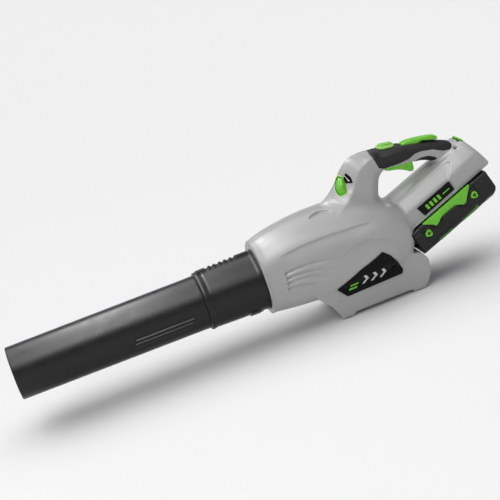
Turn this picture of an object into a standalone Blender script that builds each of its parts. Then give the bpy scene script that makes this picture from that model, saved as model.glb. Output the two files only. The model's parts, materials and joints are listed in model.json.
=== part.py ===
"""Hand-held cordless leaf blower: clamshell body with loop handle, in-line fan and motor, outlet tube and slide-on battery.

Frame: metres, +Z up, X along the air path with the nozzle towards -X, symmetric about Y = 0.
The origin is the centre of the bounding box's footprint, on the surface that the feet stand on.
Lengths below are millimetres measured from the joint between the tube and the body (x = 0) and are turned into metres by MM.
"""

import math

import bmesh
import bpy
from mathutils import Matrix, Vector

MM = 0.001

# ---- driving dimensions, mm ----
AXIS_Z = 101.0          # height of the air path's axis above the floor
X_SHIFT = -2.0          # puts the bounding box's centre on the origin
NOZZLE_X = -428.0       # open end of the tube
GAP = 0.3               # clearance between neighbouring pieces
WALL = 2.6              # housing wall
SKIN = 2.4              # thickness of the soft grip skin
DOCK_ANGLE = 21.0       # tilt of the battery rail, degrees
DOCK_X, DOCK_Z = 256.0, 98.0   # front upper edge of the battery
BATTERY_L = 164.0       # along the rail
BATTERY_HALF_W = 56.0   # to the outside of the case
FAN_R = 52.2            # inside radius of the duct at the fan
BLADES, VANES = 9, 7

for o in list(bpy.data.objects):
    bpy.data.objects.remove(o, do_unlink=True)

PARTS = bpy.data.collections.new("leaf_blower")
CUTTERS = bpy.data.collections.new("leaf_blower_cutters")
bpy.context.scene.collection.children.link(PARTS)
bpy.context.scene.collection.children.link(CUTTERS)


# ---- materials ----
def material(name, colour, roughness, metallic=0.0):
    m = bpy.data.materials.new(name)
    m.use_nodes = True
    b = m.node_tree.nodes["Principled BSDF"]
    b.inputs["Base Color"].default_value = (*colour, 1.0)
    b.inputs["Roughness"].default_value = roughness
    b.inputs["Metallic"].default_value = metallic
    return m


SHELL = material("shell_grey", (0.52, 0.52, 0.51), 0.42)
BLACK = material("black_plastic", (0.035, 0.037, 0.038), 0.38)
TUBE = material("tube_charcoal", (0.075, 0.078, 0.078), 0.33)
RUBBER = material("grip_rubber", (0.025, 0.025, 0.027), 0.6)
GREEN = material("accent_green", (0.16, 0.47, 0.05), 0.35)
BADGE = material("badge_black", (0.008, 0.009, 0.008), 0.12)
STEEL = material("steel", (0.55, 0.55, 0.56), 0.3, 1.0)
COPPER = material("copper", (0.72, 0.34, 0.16), 0.35, 1.0)
BRASS = material("brass", (0.75, 0.58, 0.28), 0.3, 1.0)
BOARD = material("circuit_board", (0.03, 0.16, 0.07), 0.5)
CELL = material("cell_sleeve", (0.10, 0.32, 0.42), 0.4)
DUCTM = material("duct_plastic", (0.11, 0.11, 0.115), 0.5)


# ---- frames ----
def world(x, y, z):
    return Vector(((x + X_SHIFT) * MM, y * MM, z * MM))


_a = math.radians(DOCK_ANGLE)
U = Vector((math.cos(_a), 0, math.sin(_a)))
V = Vector((-math.sin(_a), 0, math.cos(_a)))


def dock(s, y, t):
    """A point s along the rail, t above the top of the battery's wings."""
    return world(DOCK_X, y, DOCK_Z) + (U * s + V * t) * MM


DOCK_M = Matrix.Translation(world(DOCK_X, 0, DOCK_Z)) @ Matrix.Rotation(-_a, 4, "Y")
BODY_M = Matrix.Translation(world(0, 0, 0))


# ---- making objects ----
def add(name, mesh, mat=None, cutter=False):
    o = bpy.data.objects.new(name, mesh)
    (CUTTERS if cutter else PARTS).objects.link(o)
    if mat:
        o.data.materials.append(mat)
    return o


def evaluated(o):
    bpy.context.view_layer.update()
    return bpy.data.meshes.new_from_object(o.evaluated_get(bpy.context.evaluated_depsgraph_get()))


def to_mesh(o, mat=None, weld=True):
    """Replaces an object by its evaluated, welded mesh in world space, faces pointing out."""
    me = evaluated(o)
    me.transform(o.matrix_world)
    bm = bmesh.new()
    bm.from_mesh(me)
    if weld:
        bmesh.ops.remove_doubles(bm, verts=bm.verts, dist=2e-6)
        bmesh.ops.recalc_face_normals(bm, faces=bm.faces)
    bm.to_mesh(me)
    bm.free()
    name, mats = o.name, list(o.data.materials)
    group = list(o.users_collection)
    bpy.data.objects.remove(o, do_unlink=True)
    n = bpy.data.objects.new(name, me)
    for c in group:
        c.objects.link(n)
    me.materials.clear()
    for m in mats or ([mat] if mat else []):
        me.materials.append(m)
    return n


def is_closed(me):
    uses = [0] * len(me.edges)
    for loop in me.loops:
        uses[loop.edge_index] += 1
    return len(uses) > 0 and all(n == 2 for n in uses)


def boolean(a, tool, op="DIFFERENCE", keep=False):
    """One Boolean, with the second solver where the first leaves an open edge."""
    m = a.modifiers.new("cut", "BOOLEAN")
    m.operation, m.object, m.solver = op, tool, "EXACT"
    if not is_closed(evaluated(a)):
        m.solver = "MANIFOLD"
    r = to_mesh(a, weld=False)
    if not keep:
        bpy.data.objects.remove(tool, do_unlink=True)
    return r


def cut(a, *tools):
    for t in tools:
        a = boolean(a, t)
    return a


def fuse(a, *tools):
    for t in tools:
        a = boolean(a, t, "UNION")
    return a


def box(name, lo, hi, mat=None, frame=None, cutter=False, bevel=0.0):
    bm = bmesh.new()
    bmesh.ops.create_cube(bm, size=1.0)
    for v in bm.verts:
        v.co = Vector([(lo[k] + (v.co[k] + 0.5) * (hi[k] - lo[k])) * MM for k in range(3)])
    me = bpy.data.meshes.new(name)
    bm.to_mesh(me)
    bm.free()
    o = add(name, me, mat, cutter)
    o.matrix_world = BODY_M if frame is None else frame
    if bevel:
        b = o.modifiers.new("edges", "BEVEL")
        b.width, b.segments, b.limit_method = bevel * MM, 2, "ANGLE"
    return to_mesh(o)


def rod(name, p0, p1, r, mat=None, n=16, frame=None, cutter=False, r2=None):
    a, b = Vector(p0), Vector(p1)
    bm = bmesh.new()
    bmesh.ops.create_cone(bm, cap_ends=True, segments=n, radius1=r * MM, radius2=(r if r2 is None else r2) * MM, depth=(b - a).length * MM)
    me = bpy.data.meshes.new(name)
    bm.to_mesh(me)
    bm.free()
    o = add(name, me, mat, cutter)
    turn_to = (b - a).to_track_quat("Z", "Y").to_matrix().to_4x4()
    o.matrix_world = (BODY_M if frame is None else frame) @ Matrix.Translation((a + b) / 2 * MM) @ turn_to
    return to_mesh(o)


def outline(name, pts, y0, y1, mat=None, frame=None, cutter=False, bevel=0.0):
    """A flat outline in the X-Z plane (x, z pairs) made solid between y0 and y1."""
    cu = bpy.data.curves.new(name, "CURVE")
    cu.dimensions, cu.fill_mode, cu.extrude = "2D", "BOTH", abs(y1 - y0) / 2 * MM
    sp = cu.splines.new("POLY")
    sp.points.add(len(pts) - 1)
    for p, (x, z) in zip(sp.points, pts):
        p.co = (x * MM, z * MM, 0, 1)
    sp.use_cyclic_u = True
    o = add(name, cu, mat, cutter)
    stand = Matrix.Rotation(math.radians(90), 4, "X")
    o.matrix_world = (BODY_M if frame is None else frame) @ Matrix.Translation((0, (y0 + y1) / 2 * MM, 0)) @ stand
    o = to_mesh(o, mat)
    if bevel:
        b = o.modifiers.new("edges", "BEVEL")
        b.width, b.segments, b.limit_method, b.angle_limit = bevel * MM, 2, "ANGLE", math.radians(40)
        o = to_mesh(o, mat)
    return o


def turned(name, profile, mat=None, steps=32, closed=True, cutter=False, z=AXIS_Z):
    """A profile of (x, radius) pairs turned about the air path's axis with a Screw modifier."""
    area = sum(profile[i - 1][1] * p[0] - p[1] * profile[i - 1][0] for i, p in enumerate(profile))
    if area > 0:
        profile = profile[::-1]
    me = bpy.data.meshes.new(name)
    n = len(profile)
    edges = [(i, i + 1) for i in range(n - 1)] + ([(n - 1, 0)] if closed else [])
    me.from_pydata([(r * MM, 0, x * MM) for x, r in profile], edges, [])
    o = add(name, me, mat, cutter)
    s = o.modifiers.new("turn", "SCREW")
    s.angle, s.axis, s.screw_offset = math.tau, "Z", 0
    s.steps = s.render_steps = steps
    s.use_merge_vertices, s.merge_threshold = True, 0.00001
    o.matrix_world = BODY_M @ Matrix.Translation((0, 0, z * MM)) @ Matrix.Rotation(math.radians(90), 4, "Y")
    return to_mesh(o)


def wire(name, pts, r, mat, frame=None, res=2):
    cu = bpy.data.curves.new(name, "CURVE")
    cu.dimensions, cu.bevel_depth, cu.bevel_resolution, cu.use_fill_caps = "3D", r * MM, res, True
    sp = cu.splines.new("POLY")
    sp.points.add(len(pts) - 1)
    for p, c in zip(sp.points, pts):
        p.co = (*[k * MM for k in c], 1)
    o = add(name, cu, mat)
    o.matrix_world = BODY_M if frame is None else frame
    return to_mesh(o, mat)


def loft(name, rings, mat=None, cutter=False):
    """Skins a row of closed rings of equal length, with both ends closed."""
    n = len(rings[0])
    verts = [p for r in rings for p in r]
    faces = []
    for k in range(len(rings) - 1):
        for i in range(n):
            j = (i + 1) % n
            faces.append((k * n + i, k * n + j, (k + 1) * n + j, (k + 1) * n + i))
    faces.append(tuple(range(n)))
    faces.append(tuple(range((len(rings) - 1) * n, len(rings) * n))[::-1])
    me = bpy.data.meshes.new(name)
    me.from_pydata(verts, [], faces)
    return to_mesh(add(name, me, mat, cutter))


def power(v, e):
    return math.copysign(abs(v) ** e, v)


def oval(n, half_w, up, down, e_up=2.2, e_down=2.2):
    """n points of a rounded section as (y, height) pairs about its own axis."""
    pts = []
    for i in range(n):
        a = math.tau * i / n
        c, s = math.cos(a), math.sin(a)
        e = e_up if s >= 0 else e_down
        pts.append((half_w * power(c, 2 / e), (up if s >= 0 else down) * power(s, 2 / e)))
    return pts


# ---- outer form of the housing, each piece with an inset ----
BODY_STATIONS = [  # x, top, bottom, half width, exponent above, exponent below
    (0, 167, 41.5, 60, 2.0, 2.0), (14, 172.5, 39.5, 62, 2.1, 2.0), (42, 178.5, 37, 65, 2.2, 2.1),
    (78, 183, 35, 68, 2.3, 2.2), (112, 185, 33, 71, 2.3, 2.3), (146, 184, 31, 74, 2.3, 2.4),
    (180, 179, 30, 75.5, 2.3, 2.4), (210, 170, 32, 74, 2.3, 2.4), (234, 160.5, 37, 70, 2.3, 2.3),
    (252, 150, 46, 62, 2.2, 2.2), (264, 138, 60, 50, 2.1, 2.1),
]
SKID = [(66, 70), (76, 48), (97, 23), (107.5, 0.8), (126.5, 0.8), (130, 5.5), (234, 5.5), (238, 0.8), (258, 0.8), (265, 8),
        (273, 22), (277, 46), (266, 62), (240, 70)]
HANDLE = [  # outer point, inner point, half width, rounding exponent
    ((124, 160), (232, 138), 31, 2.6), ((140, 186), (232.5, 158), 28.5, 2.6), ((156, 199.5), (234.5, 171), 25, 2.6),
    ((170, 213.5), (238, 183), 22.5, 2.6), ((184, 231), (242.5, 193), 21, 2.6), ((201, 243.5), (248, 200), 20.5, 2.6),
    ((221, 247), (254, 204), 20, 2.6), ((244, 245.2), (261, 205), 19.8, 2.5), ((268, 242.5), (272, 204), 19.5, 2.5),
    ((292, 238.5), (288, 202), 19, 2.5), ((316, 233.5), (305, 200.5), 18.7, 2.5), ((340, 227), (322, 198.5), 18.7, 2.5),
    ((362, 220), (337, 193), 19, 2.5), ((380, 212), (351, 184), 20, 2.5), ((391, 202), (361, 176), 20, 2.5),
]
DOCK_RING = [(0, 0), (30, 0), (46, 0.3), (48, 2.5), (48, 23), (45.5, 31), (36, 42), (27, 49), (14, 52.5), (0, 53)]
DOCK_STATIONS = [  # s, lean, width factor, height factor
    (-36, 0.0, 0.9, 0.9), (12, 0.0, 1.0, 1.0), (118, 0.05, 1.0, 1.0), (150, 0.1, 0.99, 1.06), (173, 0.17, 0.97, 1.09),
    (180.5, 0.18, 0.94, 1.05), (182, 0.18, 0.86, 0.95),
]


def body_solid(name, inset=0.0, x0=0.0):
    rings = []
    for x, top, bot, hw, eu, ed in BODY_STATIONS:
        x = max(x, x0) if x < 264 else x - inset
        rings.append([world(x, y, AXIS_Z + h) for y, h in oval(24, hw - inset, top - AXIS_Z - inset, AXIS_Z - bot - inset, eu, ed)])
    return loft(name, rings, SHELL)


def inset_outline(pts, d):
    """Moves each side of an outline inwards by d and meets the sides again."""
    n = len(pts)
    area = sum(pts[i - 1][0] * p[1] - p[0] * pts[i - 1][1] for i, p in enumerate(pts))
    sign = 1 if area > 0 else -1
    lines = []
    for i in range(n):
        a, b = Vector(pts[i]), Vector(pts[(i + 1) % n])
        t = (b - a).normalized()
        nrm = Vector((-t.y, t.x)) * sign
        lines.append((a + nrm * d, t))
    out = []
    for i in range(n):
        (p, r), (q, s) = lines[i - 1], lines[i]
        den = r.x * s.y - r.y * s.x
        k = ((q - p).x * s.y - (q - p).y * s.x) / den
        out.append(tuple(p + r * k))
    return out


def skid_solid(name, inset=0.0):
    pts = inset_outline(SKID, inset) if inset else SKID
    return outline(name, pts, -(54 - inset), 54 - inset, SHELL, bevel=0.0 if inset else 3.0)


def handle_solid(name, inset=0.0, first=0, last=None, grip_inset=None, mat=None):
    rings = []
    stations = HANDLE[first:last]
    for k, (o, i, w, e) in enumerate(stations):
        d = inset
        if grip_inset is not None and 7 <= k + first <= 12:
            d = grip_inset
        o, i = Vector(o), Vector(i)
        c, h = (o + i) / 2, (o - i).length / 2 - d
        up = (o - i).normalized()
        rings.append([world(c.x + up.x * t, y, c.y + up.y * t) for y, t in oval(16, w - d, h, h, e, e)])
    return loft(name, rings, mat or SHELL)


def dock_solid(name, inset=0.0):
    rings = []
    for k, (s, lean, fw, fh) in enumerate(DOCK_STATIONS):
        if k == len(DOCK_STATIONS) - 1:
            s -= inset
        if k == 0:
            s += inset
        half = []
        for y, t in DOCK_RING:
            y, t = y * fw, t * fh
            y = max(0.0, y - inset) if y > inset else y
            t = inset + t * (53 * fh - 2 * inset) / (53 * fh)
            half.append((y, t))
        ring = half + [(-y, t) for y, t in half[-2:0:-1]]
        rings.append([dock(s - lean * t, y, t) for y, t in ring])
    return loft(name, rings, SHELL)


# space swept by the battery and its rail, wider by clearance or wall
def bay(name, grow=0.0):
    return box(name, (-0.4 - grow, -64 - grow - 40, -62 - grow - 60), (300, 64 + grow + 40, -0.4 + grow), frame=DOCK_M, cutter=True)


def channel(name, grow=0.0):
    a = box(name, (-1.5 - grow, -27.6 - grow, -6), (300, 27.6 + grow, 9.0), frame=DOCK_M, cutter=True)
    b = box(name + "_head", (-1.5 - grow, -33.6 - grow, 8.0 - grow), (300, 33.6 + grow, 14.5 + grow), frame=DOCK_M, cutter=True)
    return fuse(a, b)


def housing_outer(name, inset):
    a = body_solid(name, inset, x0=WALL if inset else 0.0)
    a = fuse(a, skid_solid(name + "_skid", inset), dock_solid(name + "_dock", inset))
    if inset:
        a = fuse(a, handle_solid(name + "_handle", inset, grip_inset=inset + SKIN + 0.3))
    else:
        a = fuse(a, handle_solid(name + "_handle", 0.0))
    a = cut(a, bay(name + "_bay", inset), channel(name + "_channel", inset))
    return a


outer = housing_outer("housing_left", 0.0)
inner = housing_outer("housing_cavity", WALL)
shell = boolean(outer, inner)

# the soft skin's seat around the grip: everything between the skin's inside and outside, from the pillar to the dock
GRIP_LOWER = [(238, 262), (238, 240), (246, 214), (256, 208.5), (284, 208.5), (300, 210.5), (312, 215.5), (324, 216.5),
              (344, 212.5), (362, 203.5), (372, 202.5), (379, 207.5), (379, 226), (372, 262)]


def grip_band(name, inside, outside, edge):
    a = handle_solid(name, outside, 6, 14, mat=RUBBER)
    a = cut(a, handle_solid(name + "_core", inside, 5, None))
    z = outline(name + "_zone", inset_outline(GRIP_LOWER, edge), -40, 40, cutter=True)
    return boolean(a, z, "INTERSECT")


shell = cut(shell, grip_band("grip_seat", SKIN + 0.3, -2.0, -0.3))

# openings
TRIGGER_SLOT = ((252, -8.3, 176), (314, 8.3, 212))
LEVER_SLOT = ((293.5, -9.6, 212), (334, 9.6, 252))
BOOST_M = BODY_M @ Matrix.Translation(Vector((270, 0, 242.2)) * MM) @ Matrix.Rotation(math.radians(8.0), 4, "Y")
SLOPE_M = DOCK_M @ Matrix.Translation(Vector((174.0, 0, 45.0)) * MM) @ Matrix.Rotation(math.radians(90 - 10.2), 4, "Y")
DIAL = Vector((184.9, -2.7, 199.5))          # centre of the dial
DIAL_AXIS = Vector((0.663, -0.731, 0.19)).normalized()
DIAL_R = 22.0


def on_dial(t):
    return DIAL + DIAL_AXIS * t

PIN_TRIGGER, PIN_LEVER = (262, 213), (302, 231.5)
BLADE_Y = (-15, -5, 5, 15)
FOOT_X = (110.5, 123.5), (241.5, 254.5)
FOOT_Y = 39.0, 51.5


def pin_holes():
    return [rod("pin_hole", (x, -y, z), (x, y, z), 1.8, n=12, cutter=True) for (x, z), y in ((PIN_LEVER, 11.0), (PIN_TRIGGER, 13.9))]


def boost_cutter():
    return box("boost_hole", (-16.4, -10.9, -9), (16.4, 10.9, 9), frame=BOOST_M, cutter=True)


shell = cut(
    shell,
    rod("front_bore", (-6, 0, AXIS_Z), (20, 0, AXIS_Z), 52.0, n=36, cutter=True),
    box("rear_vent", (262, -41, 14), (290, 41, 41), cutter=True),
    box("floor_vent", (140, -38, -4), (226, 38, 12), cutter=True),
    box("trigger_slot", *TRIGGER_SLOT, cutter=True),
    box("lever_slot", *LEVER_SLOT, cutter=True),
    boost_cutter(),
    rod("dial_slot", on_dial(-8.3), on_dial(8.3), DIAL_R + 0.8, n=24, cutter=True),
    box("release_window", (-12, -16.5, -12), (12, 16.5, 14), frame=SLOPE_M, cutter=True),
    box("latch_window", (151.7, -7.6, 12), (160.3, 7.6, 20), frame=DOCK_M, cutter=True),
    *pin_holes(),
    box("front_foot_gap", (100, -36.5, -4), (131, 36.5, 5.5), cutter=True),
    box("rear_foot_gap", (233, -36.5, -4), (262, 36.5, 5.5), cutter=True),
)
for y in BLADE_Y:
    shell = cut(shell, box("blade_window", (7, y - 0.8, 12), (27, y + 0.8, 20), frame=DOCK_M, cutter=True))
for x0, x1 in FOOT_X:
    for side in (-1, 1):
        y0, y1 = sorted((side * (FOOT_Y[0] - 0.3), side * (FOOT_Y[1] + 0.3)))
        shell = cut(shell, box("pad_seat", (x0 - 0.3, y0, -3), (x1 + 0.3, y1, 3.3), cutter=True))

# bosses that pull the two halves together, with the screws entering from the right
inside_wall = housing_outer("inside_wall", WALL * 0.5)
BOSSES = [(30, 163.5), (114.5, 17.5), (248, 15.5), (222, 208), (291.5, 143.5), (356.5, 165.5)]
for k, (x, z) in enumerate(BOSSES):
    post = rod("boss", (x, -80, z), (x, 80, z), 4.6, n=12)
    post = boolean(post, inside_wall, "INTERSECT", keep=True)
    shell = fuse(shell, post)
bpy.data.objects.remove(inside_wall, do_unlink=True)


def surface_y(x, z):
    """Distance of the shell's outside from the middle plane at a boss."""
    bpy.context.view_layer.update()
    hit, p, _, _ = shell.ray_cast(world(x, 200, z), Vector((0, -1, 0)))
    return p.y / MM if hit else 60.0


SCREW_Y = []
for x, z in BOSSES:
    depth = surface_y(x, z)
    SCREW_Y.append(depth)
    shell = cut(
        shell,
        rod("screw_recess", (x, 7.0, z), (x, depth + 6, z), 3.3, n=12, cutter=True),
        rod("screw_hole", (x, -9.0, z), (x, 8.0, z), 1.7, n=8, cutter=True),
    )

# half of the shell, and its other half
copy = add("housing_right", shell.data.copy())
left = boolean(shell, box("left_half", (-60, -200, -60), (600, -0.15, 400), cutter=True), "INTERSECT")
left.name = "housing_left"
right = boolean(copy, box("right_half", (-60, 0.15, -60), (600, 200, 400), cutter=True), "INTERSECT")
right.name = "housing_right"

# ---- grip ----
grip = grip_band("grip_skin", SKIN, 0.0, 0.0)
grip = cut(grip, box("c1", *TRIGGER_SLOT, cutter=True), box("c2", *LEVER_SLOT, cutter=True), boost_cutter(), *pin_holes())

# ---- screws, pads, grilles ----
for k, (x, z) in enumerate(BOSSES):
    head = rod("housing_screw_%d" % (k + 1), (x, 7.3, z), (x, 10.0, z), 2.9, STEEL, n=12)
    shank = rod("shank", (x, -8.6, z), (x, 8.0, z), 1.35, n=8)
    socket = rod("socket", (x, 8.6, z), (x, 11.0, z), 1.3, n=6, cutter=True)
    cut(fuse(head, shank), socket)

for end, (x0, x1) in zip(("front", "rear"), FOOT_X):
    for hand, side in (("left", -1), ("right", 1)):
        y0, y1 = sorted((side * FOOT_Y[0], side * FOOT_Y[1]))
        box("foot_pad_%s_%s" % (end, hand), (x0, y0, 0), (x1, y1, 3.0), RUBBER)

grille = outline("rear_grille", [(268.2, 14.3), (272.8, 22), (276.2, 40.7), (273.2, 40.7), (269.9, 22.8), (265.4, 14.3)], -40.7, 40.7, BLACK)
grille = cut(grille, *[box("s", (255, y * 7.0 - 1.8, 17), (290, y * 7.0 + 1.8, 38), cutter=True) for y in range(-5, 6)])
floor = box("floor_grille", (140.3, -37.7, 5.5), (225.7, 37.7, 8.0), BLACK)
floor = cut(floor, *[box("s", (146.2 + 8 * k, -33, 0), (149.8 + 8 * k, 33, 12), cutter=True) for k in range(10)])

# ---- duct, fan and motor ----
duct = turned("duct", [
    (-39.5, 44), (-39.5, 46.5), (18, 46.5), (22, 49.5), (34, 52.5), (60, 54.6), (182, 54.6), (192, 60.5), (194, 60.5),
    (194, 58.0), (184, 52.2), (96, 52.2), (60, 50), (30, 44)], DUCTM, steps=32)
duct = cut(duct, box("lock_slot", (-50, -5.3, 50), (-7.9, 5.3, 62), cutter=True))

mount = turned("motor_mount", [(98, 22.4), (98, 25), (146, 25), (146, 22.4)], DUCTM, steps=28)
for k in range(VANES):
    a = math.tau * (k + 0.5) / VANES
    twist = BODY_M @ Matrix.Translation(Vector((122, 0, AXIS_Z)) * MM) @ Matrix.Rotation(a, 4, "X") @ Matrix.Rotation(math.radians(16), 4, "Z")
    mount = fuse(mount, box("vane", (-15, -1.0, 23.6), (15, 1.0, 51.5), frame=twist))
mount.data.materials.clear()
mount.data.materials.append(DUCTM)
cone = turned("tail_cone", [(97.6, 0), (97.6, 24.6), (84, 22.5), (66, 14.5), (56, 5.5), (53, 0)], DUCTM, steps=24, closed=False)

can = turned("motor_can", [(100, 3.2), (100, 22.1), (138, 22.1), (138, 20.4), (101.8, 20.4), (101.8, 3.2)], STEEL, steps=28)
cap = turned("motor_end_cap", [(138.3, 6.6), (138.3, 22.0), (143, 22.0), (143, 6.6)], DUCTM, steps=28)
stator = turned("motor_stator", [(110, 12.6), (110, 20.1), (130, 20.1), (130, 12.6)], STEEL, steps=28)
windings = turned("motor_windings", [(103.0, 13.2), (103.0, 19.6), (109.0, 19.6), (109.0, 13.2)], COPPER, steps=28)
for k in range(6):
    m = BODY_M @ Matrix.Translation(Vector((120, 0, AXIS_Z)) * MM) @ Matrix.Rotation(math.tau * k / 6, 4, "X")
    stator = cut(stator, box("g", (-14, -3.6, 8), (14, 3.6, 17.6), frame=m, cutter=True))
    windings = fuse(windings, box("coil", (-12.5, -3.2, 13.6), (13.5, 3.2, 17.2), frame=m))
rotor = turned("motor_shaft", [
    (98.6, 0), (98.6, 2.5), (107, 2.5), (108, 11.8), (133, 11.8), (134, 2.5), (177, 2.5), (177, 0)], STEEL, steps=20, closed=False)
turned("front_bearing", [(102.1, 2.8), (102.1, 6.0), (106.2, 6.0), (106.2, 2.8)], STEEL, steps=16)
turned("rear_bearing", [(138.5, 2.8), (138.5, 6.3), (142.8, 6.3), (142.8, 2.8)], STEEL, steps=16)

fan = turned("fan", [(149, 2.8), (149, 24), (175, 24), (175, 2.8)], BLACK, steps=28)


def blade(k):
    """A twisted blade from inside the hub to just short of the duct."""
    rings = []
    for r, pitch, chord in ((22.5, 52, 30), (32, 40, 31), (42, 31, 32), (51.4, 25, 33)):
        p = math.radians(pitch)
        ring = []
        for u, thick in ((-0.5, 0.3), (-0.2, 1.1), (0.15, 1.1), (0.5, 0.3), (0.15, -1.1), (-0.2, -1.1)):
            w = u * chord * 0.82
            camber = 1.6 * (0.25 - u * u) * 4
            n = thick + camber
            dx = w * math.sin(p) + n * math.cos(p)
            arc = w * math.cos(p) - n * math.sin(p)
            a = math.tau * k / BLADES + arc / r
            ring.append(world(162 + dx, r * math.sin(a), AXIS_Z + r * math.cos(a)))
        rings.append(ring)
    return loft("blade", rings)


for k in range(BLADES):
    fan = fuse(fan, blade(k))
fan.data.materials.clear()
fan.data.materials.append(BLACK)
spinner = turned("fan_spinner", [(177.4, 0), (177.4, 2.9), (175.3, 2.9), (175.3, 23.6), (184, 21.5), (194, 14), (199, 6), (200.5, 0)], BLACK, steps=24, closed=False)

# ---- outlet tube and its lock ----
tube = turned("outlet_tube", [
    (-428, 41.8), (-428, 44.0), (-426.5, 44.6), (-110, 45.7), (-104, 45.8), (-102, 49.6), (-97, 49.9), (-95, 48.9), (-60, 49.6),
    (-8, 50.4), (-4, 51.0), (14, 51.0), (16, 50.2), (16, 46.8), (-40, 46.8), (-42, 43.3)], TUBE, steps=36)
rib = outline("rib", [(-100, 148.2), (-98, 154), (-6, 155.5), (-4, 148.2)], -4.2, 4.2)
tube = fuse(tube, rib)
lock_cut = box("lock_cut", (-26, -5, 44), (-8, 5, 60), cutter=True)
tube = cut(tube, lock_cut)
tube.data.materials.clear()
tube.data.materials.append(TUBE)
lock = outline("tube_lock", [(-25.7, 56.0), (-25.7, 48.4), (-23, 47.2), (-12, 46.6), (-8.3, 48.4), (-8.3, 56.0)], -4.7, 4.7, TUBE)

# ---- trigger, lever, button and dial ----
trigger = outline("trigger", [
    (257.3, 213), (258.4, 216.6), (262, 218), (266, 217.2), (272, 213.8), (285, 210.4), (300, 206.6), (306.4, 205), (307.4, 198),
    (307, 190), (304.4, 186.2), (299, 186.8), (288, 193.5), (275, 198.2), (266, 199.8), (258, 203), (256.6, 208)], -8.0, 8.0, GREEN, bevel=1.2)
trigger = cut(trigger, rod("h", (PIN_TRIGGER[0], -12, PIN_TRIGGER[1]), (PIN_TRIGGER[0], 12, PIN_TRIGGER[1]), 1.8, n=12, cutter=True))
trigger_pin = rod("trigger_pin", (PIN_TRIGGER[0], -13.6, PIN_TRIGGER[1]), (PIN_TRIGGER[0], 13.6, PIN_TRIGGER[1]), 1.5, STEEL, n=12)
lever = outline("cruise_lever", [
    (296.4, 232.5), (297, 236), (301, 238.3), (308, 238.9), (324, 237.7), (345, 234.3), (357, 231.0), (359.6, 229.2), (360, 226),
    (358.6, 223.2), (345, 227.0), (333, 230.4), (324, 228.2), (310, 227.4), (302, 226.4), (297.6, 228.6)], -9.2, 9.2, GREEN, bevel=1.4)
lever = cut(lever, rod("h", (PIN_LEVER[0], -12, PIN_LEVER[1]), (PIN_LEVER[0], 12, PIN_LEVER[1]), 1.8, n=12, cutter=True))
lever_pin = rod("lever_pin", (PIN_LEVER[0], -10.7, PIN_LEVER[1]), (PIN_LEVER[0], 10.7, PIN_LEVER[1]), 1.5, STEEL, n=12)


def pill(name, a, b, z0, z1, mat, frame, n=6):
    """A rounded-end block of half length a and half width b."""
    pts = []
    for i in range(2 * n):
        t = math.pi * i / (n - 1) if i < n else math.pi * (i - 1) / (n - 1)
        pts.append(((a - b if i < n else -(a - b)) + b * math.cos(t - math.pi / 2), b * math.sin(t - math.pi / 2)))
    return outline(name, pts, z0, z1, mat, frame=frame @ Matrix.Rotation(math.radians(90), 4, "X"))


bezel = pill("boost_bezel", 16.1, 10.6, -2.6, 1.4, GREEN, BOOST_M)
bezel = cut(bezel, pill("bz", 12.9, 7.4, -8, 8, None, BOOST_M))
boost = pill("boost_button", 12.6, 7.1, -8.0, 2.6, GREEN, BOOST_M)

dial = rod("speed_dial", on_dial(-8.0), on_dial(8.0), DIAL_R, GREEN, n=28)
b = dial.modifiers.new("edges", "BEVEL")
b.width, b.segments, b.limit_method = 2.2 * MM, 2, "ANGLE"
dial = to_mesh(dial, GREEN)
dial = cut(dial, rod("h", on_dial(-12), on_dial(12), 2.3, n=12, cutter=True))
dial_pin = rod("dial_pin", on_dial(-10.5), on_dial(8.4), 2.0, STEEL, n=12)
pot = rod("speed_sensor", on_dial(8.7), on_dial(12.2), 5.0, BLACK, n=12)

switch = box("power_switch", (286, -5.5, 219), (306, 5.5, 225.5), BLACK)
switch = fuse(switch, box("plunger", (292, -2, 216.2), (298, 2, 220)))
switch.data.materials.clear()
switch.data.materials.append(BLACK)


def coil(name, frame, r, z0, z1, turns, wire_r, mat, per=8):
    pts = []
    n = int(turns * per)
    for i in range(n + 1):
        a = math.tau * i / per
        pts.append((r * math.cos(a), r * math.sin(a), z0 + (z1 - z0) * i / n))
    return wire(name, pts, wire_r, mat, frame=frame, res=1)


TRIG_M = BODY_M @ Matrix.Translation(Vector((277, 0, 0)) * MM)
trigger_spring = coil("trigger_spring", TRIG_M, 3.2, 213.6, 222.0, 4, 0.4, STEEL)
spring_seat = box("spring_seat", (271, -6, 222.8), (283, 6, 226.5), BLACK)

# ---- battery release and latch ----
release = box("battery_release", (-11.7, -16.2, -3.0), (11.7, 16.2, 0.6), GREEN, frame=SLOPE_M, bevel=0.8)
release = fuse(release, box("stem", (-3.1, -3.3, -13.5), (3.1, 3.3, -2.0), frame=SLOPE_M))
release.data.materials.clear()
release.data.materials.append(GREEN)
release_spring = coil("release_spring", SLOPE_M, 5.9, -11.0, -3.9, 3.5, 0.45, STEEL)
latch = box("battery_latch", (152, -7.3, 14.9), (160, 7.3, 30), BLACK, frame=DOCK_M, bevel=0.6)

# ---- terminals, board and leads ----
block = box("terminal_block", (4, -20, 17.7), (30, 20, 26), BLACK, frame=DOCK_M, bevel=0.6)
block = fuse(block, *[box("tb", (8, y - 0.5, 9.4), (26, y + 0.5, 18.4), frame=DOCK_M) for y in BLADE_Y])
board = box("controller_board", (198, -26, 128), (238, 26, 129.8), BOARD)
board = fuse(
    board,
    *[box("c", (202 + 12 * i, -20 + 11 * j, 129.5), (209 + 12 * i, -13 + 11 * j, 133)) for i in range(2) for j in range(4)],
    *[rod("c", (230, y, 129.5), (230, y, 139), 4, n=12) for y in (-14, 0, 14)])
for name, y in (("power_lead_positive", -7), ("power_lead_negative", 7)):
    wire(name, [(252.6, y, 131.0), (249, y, 134.5), (243.5, y, 135.6), (238.5, y, 134.6), (236.5, y, 130.4)], 1.2, COPPER, res=1)

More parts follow.
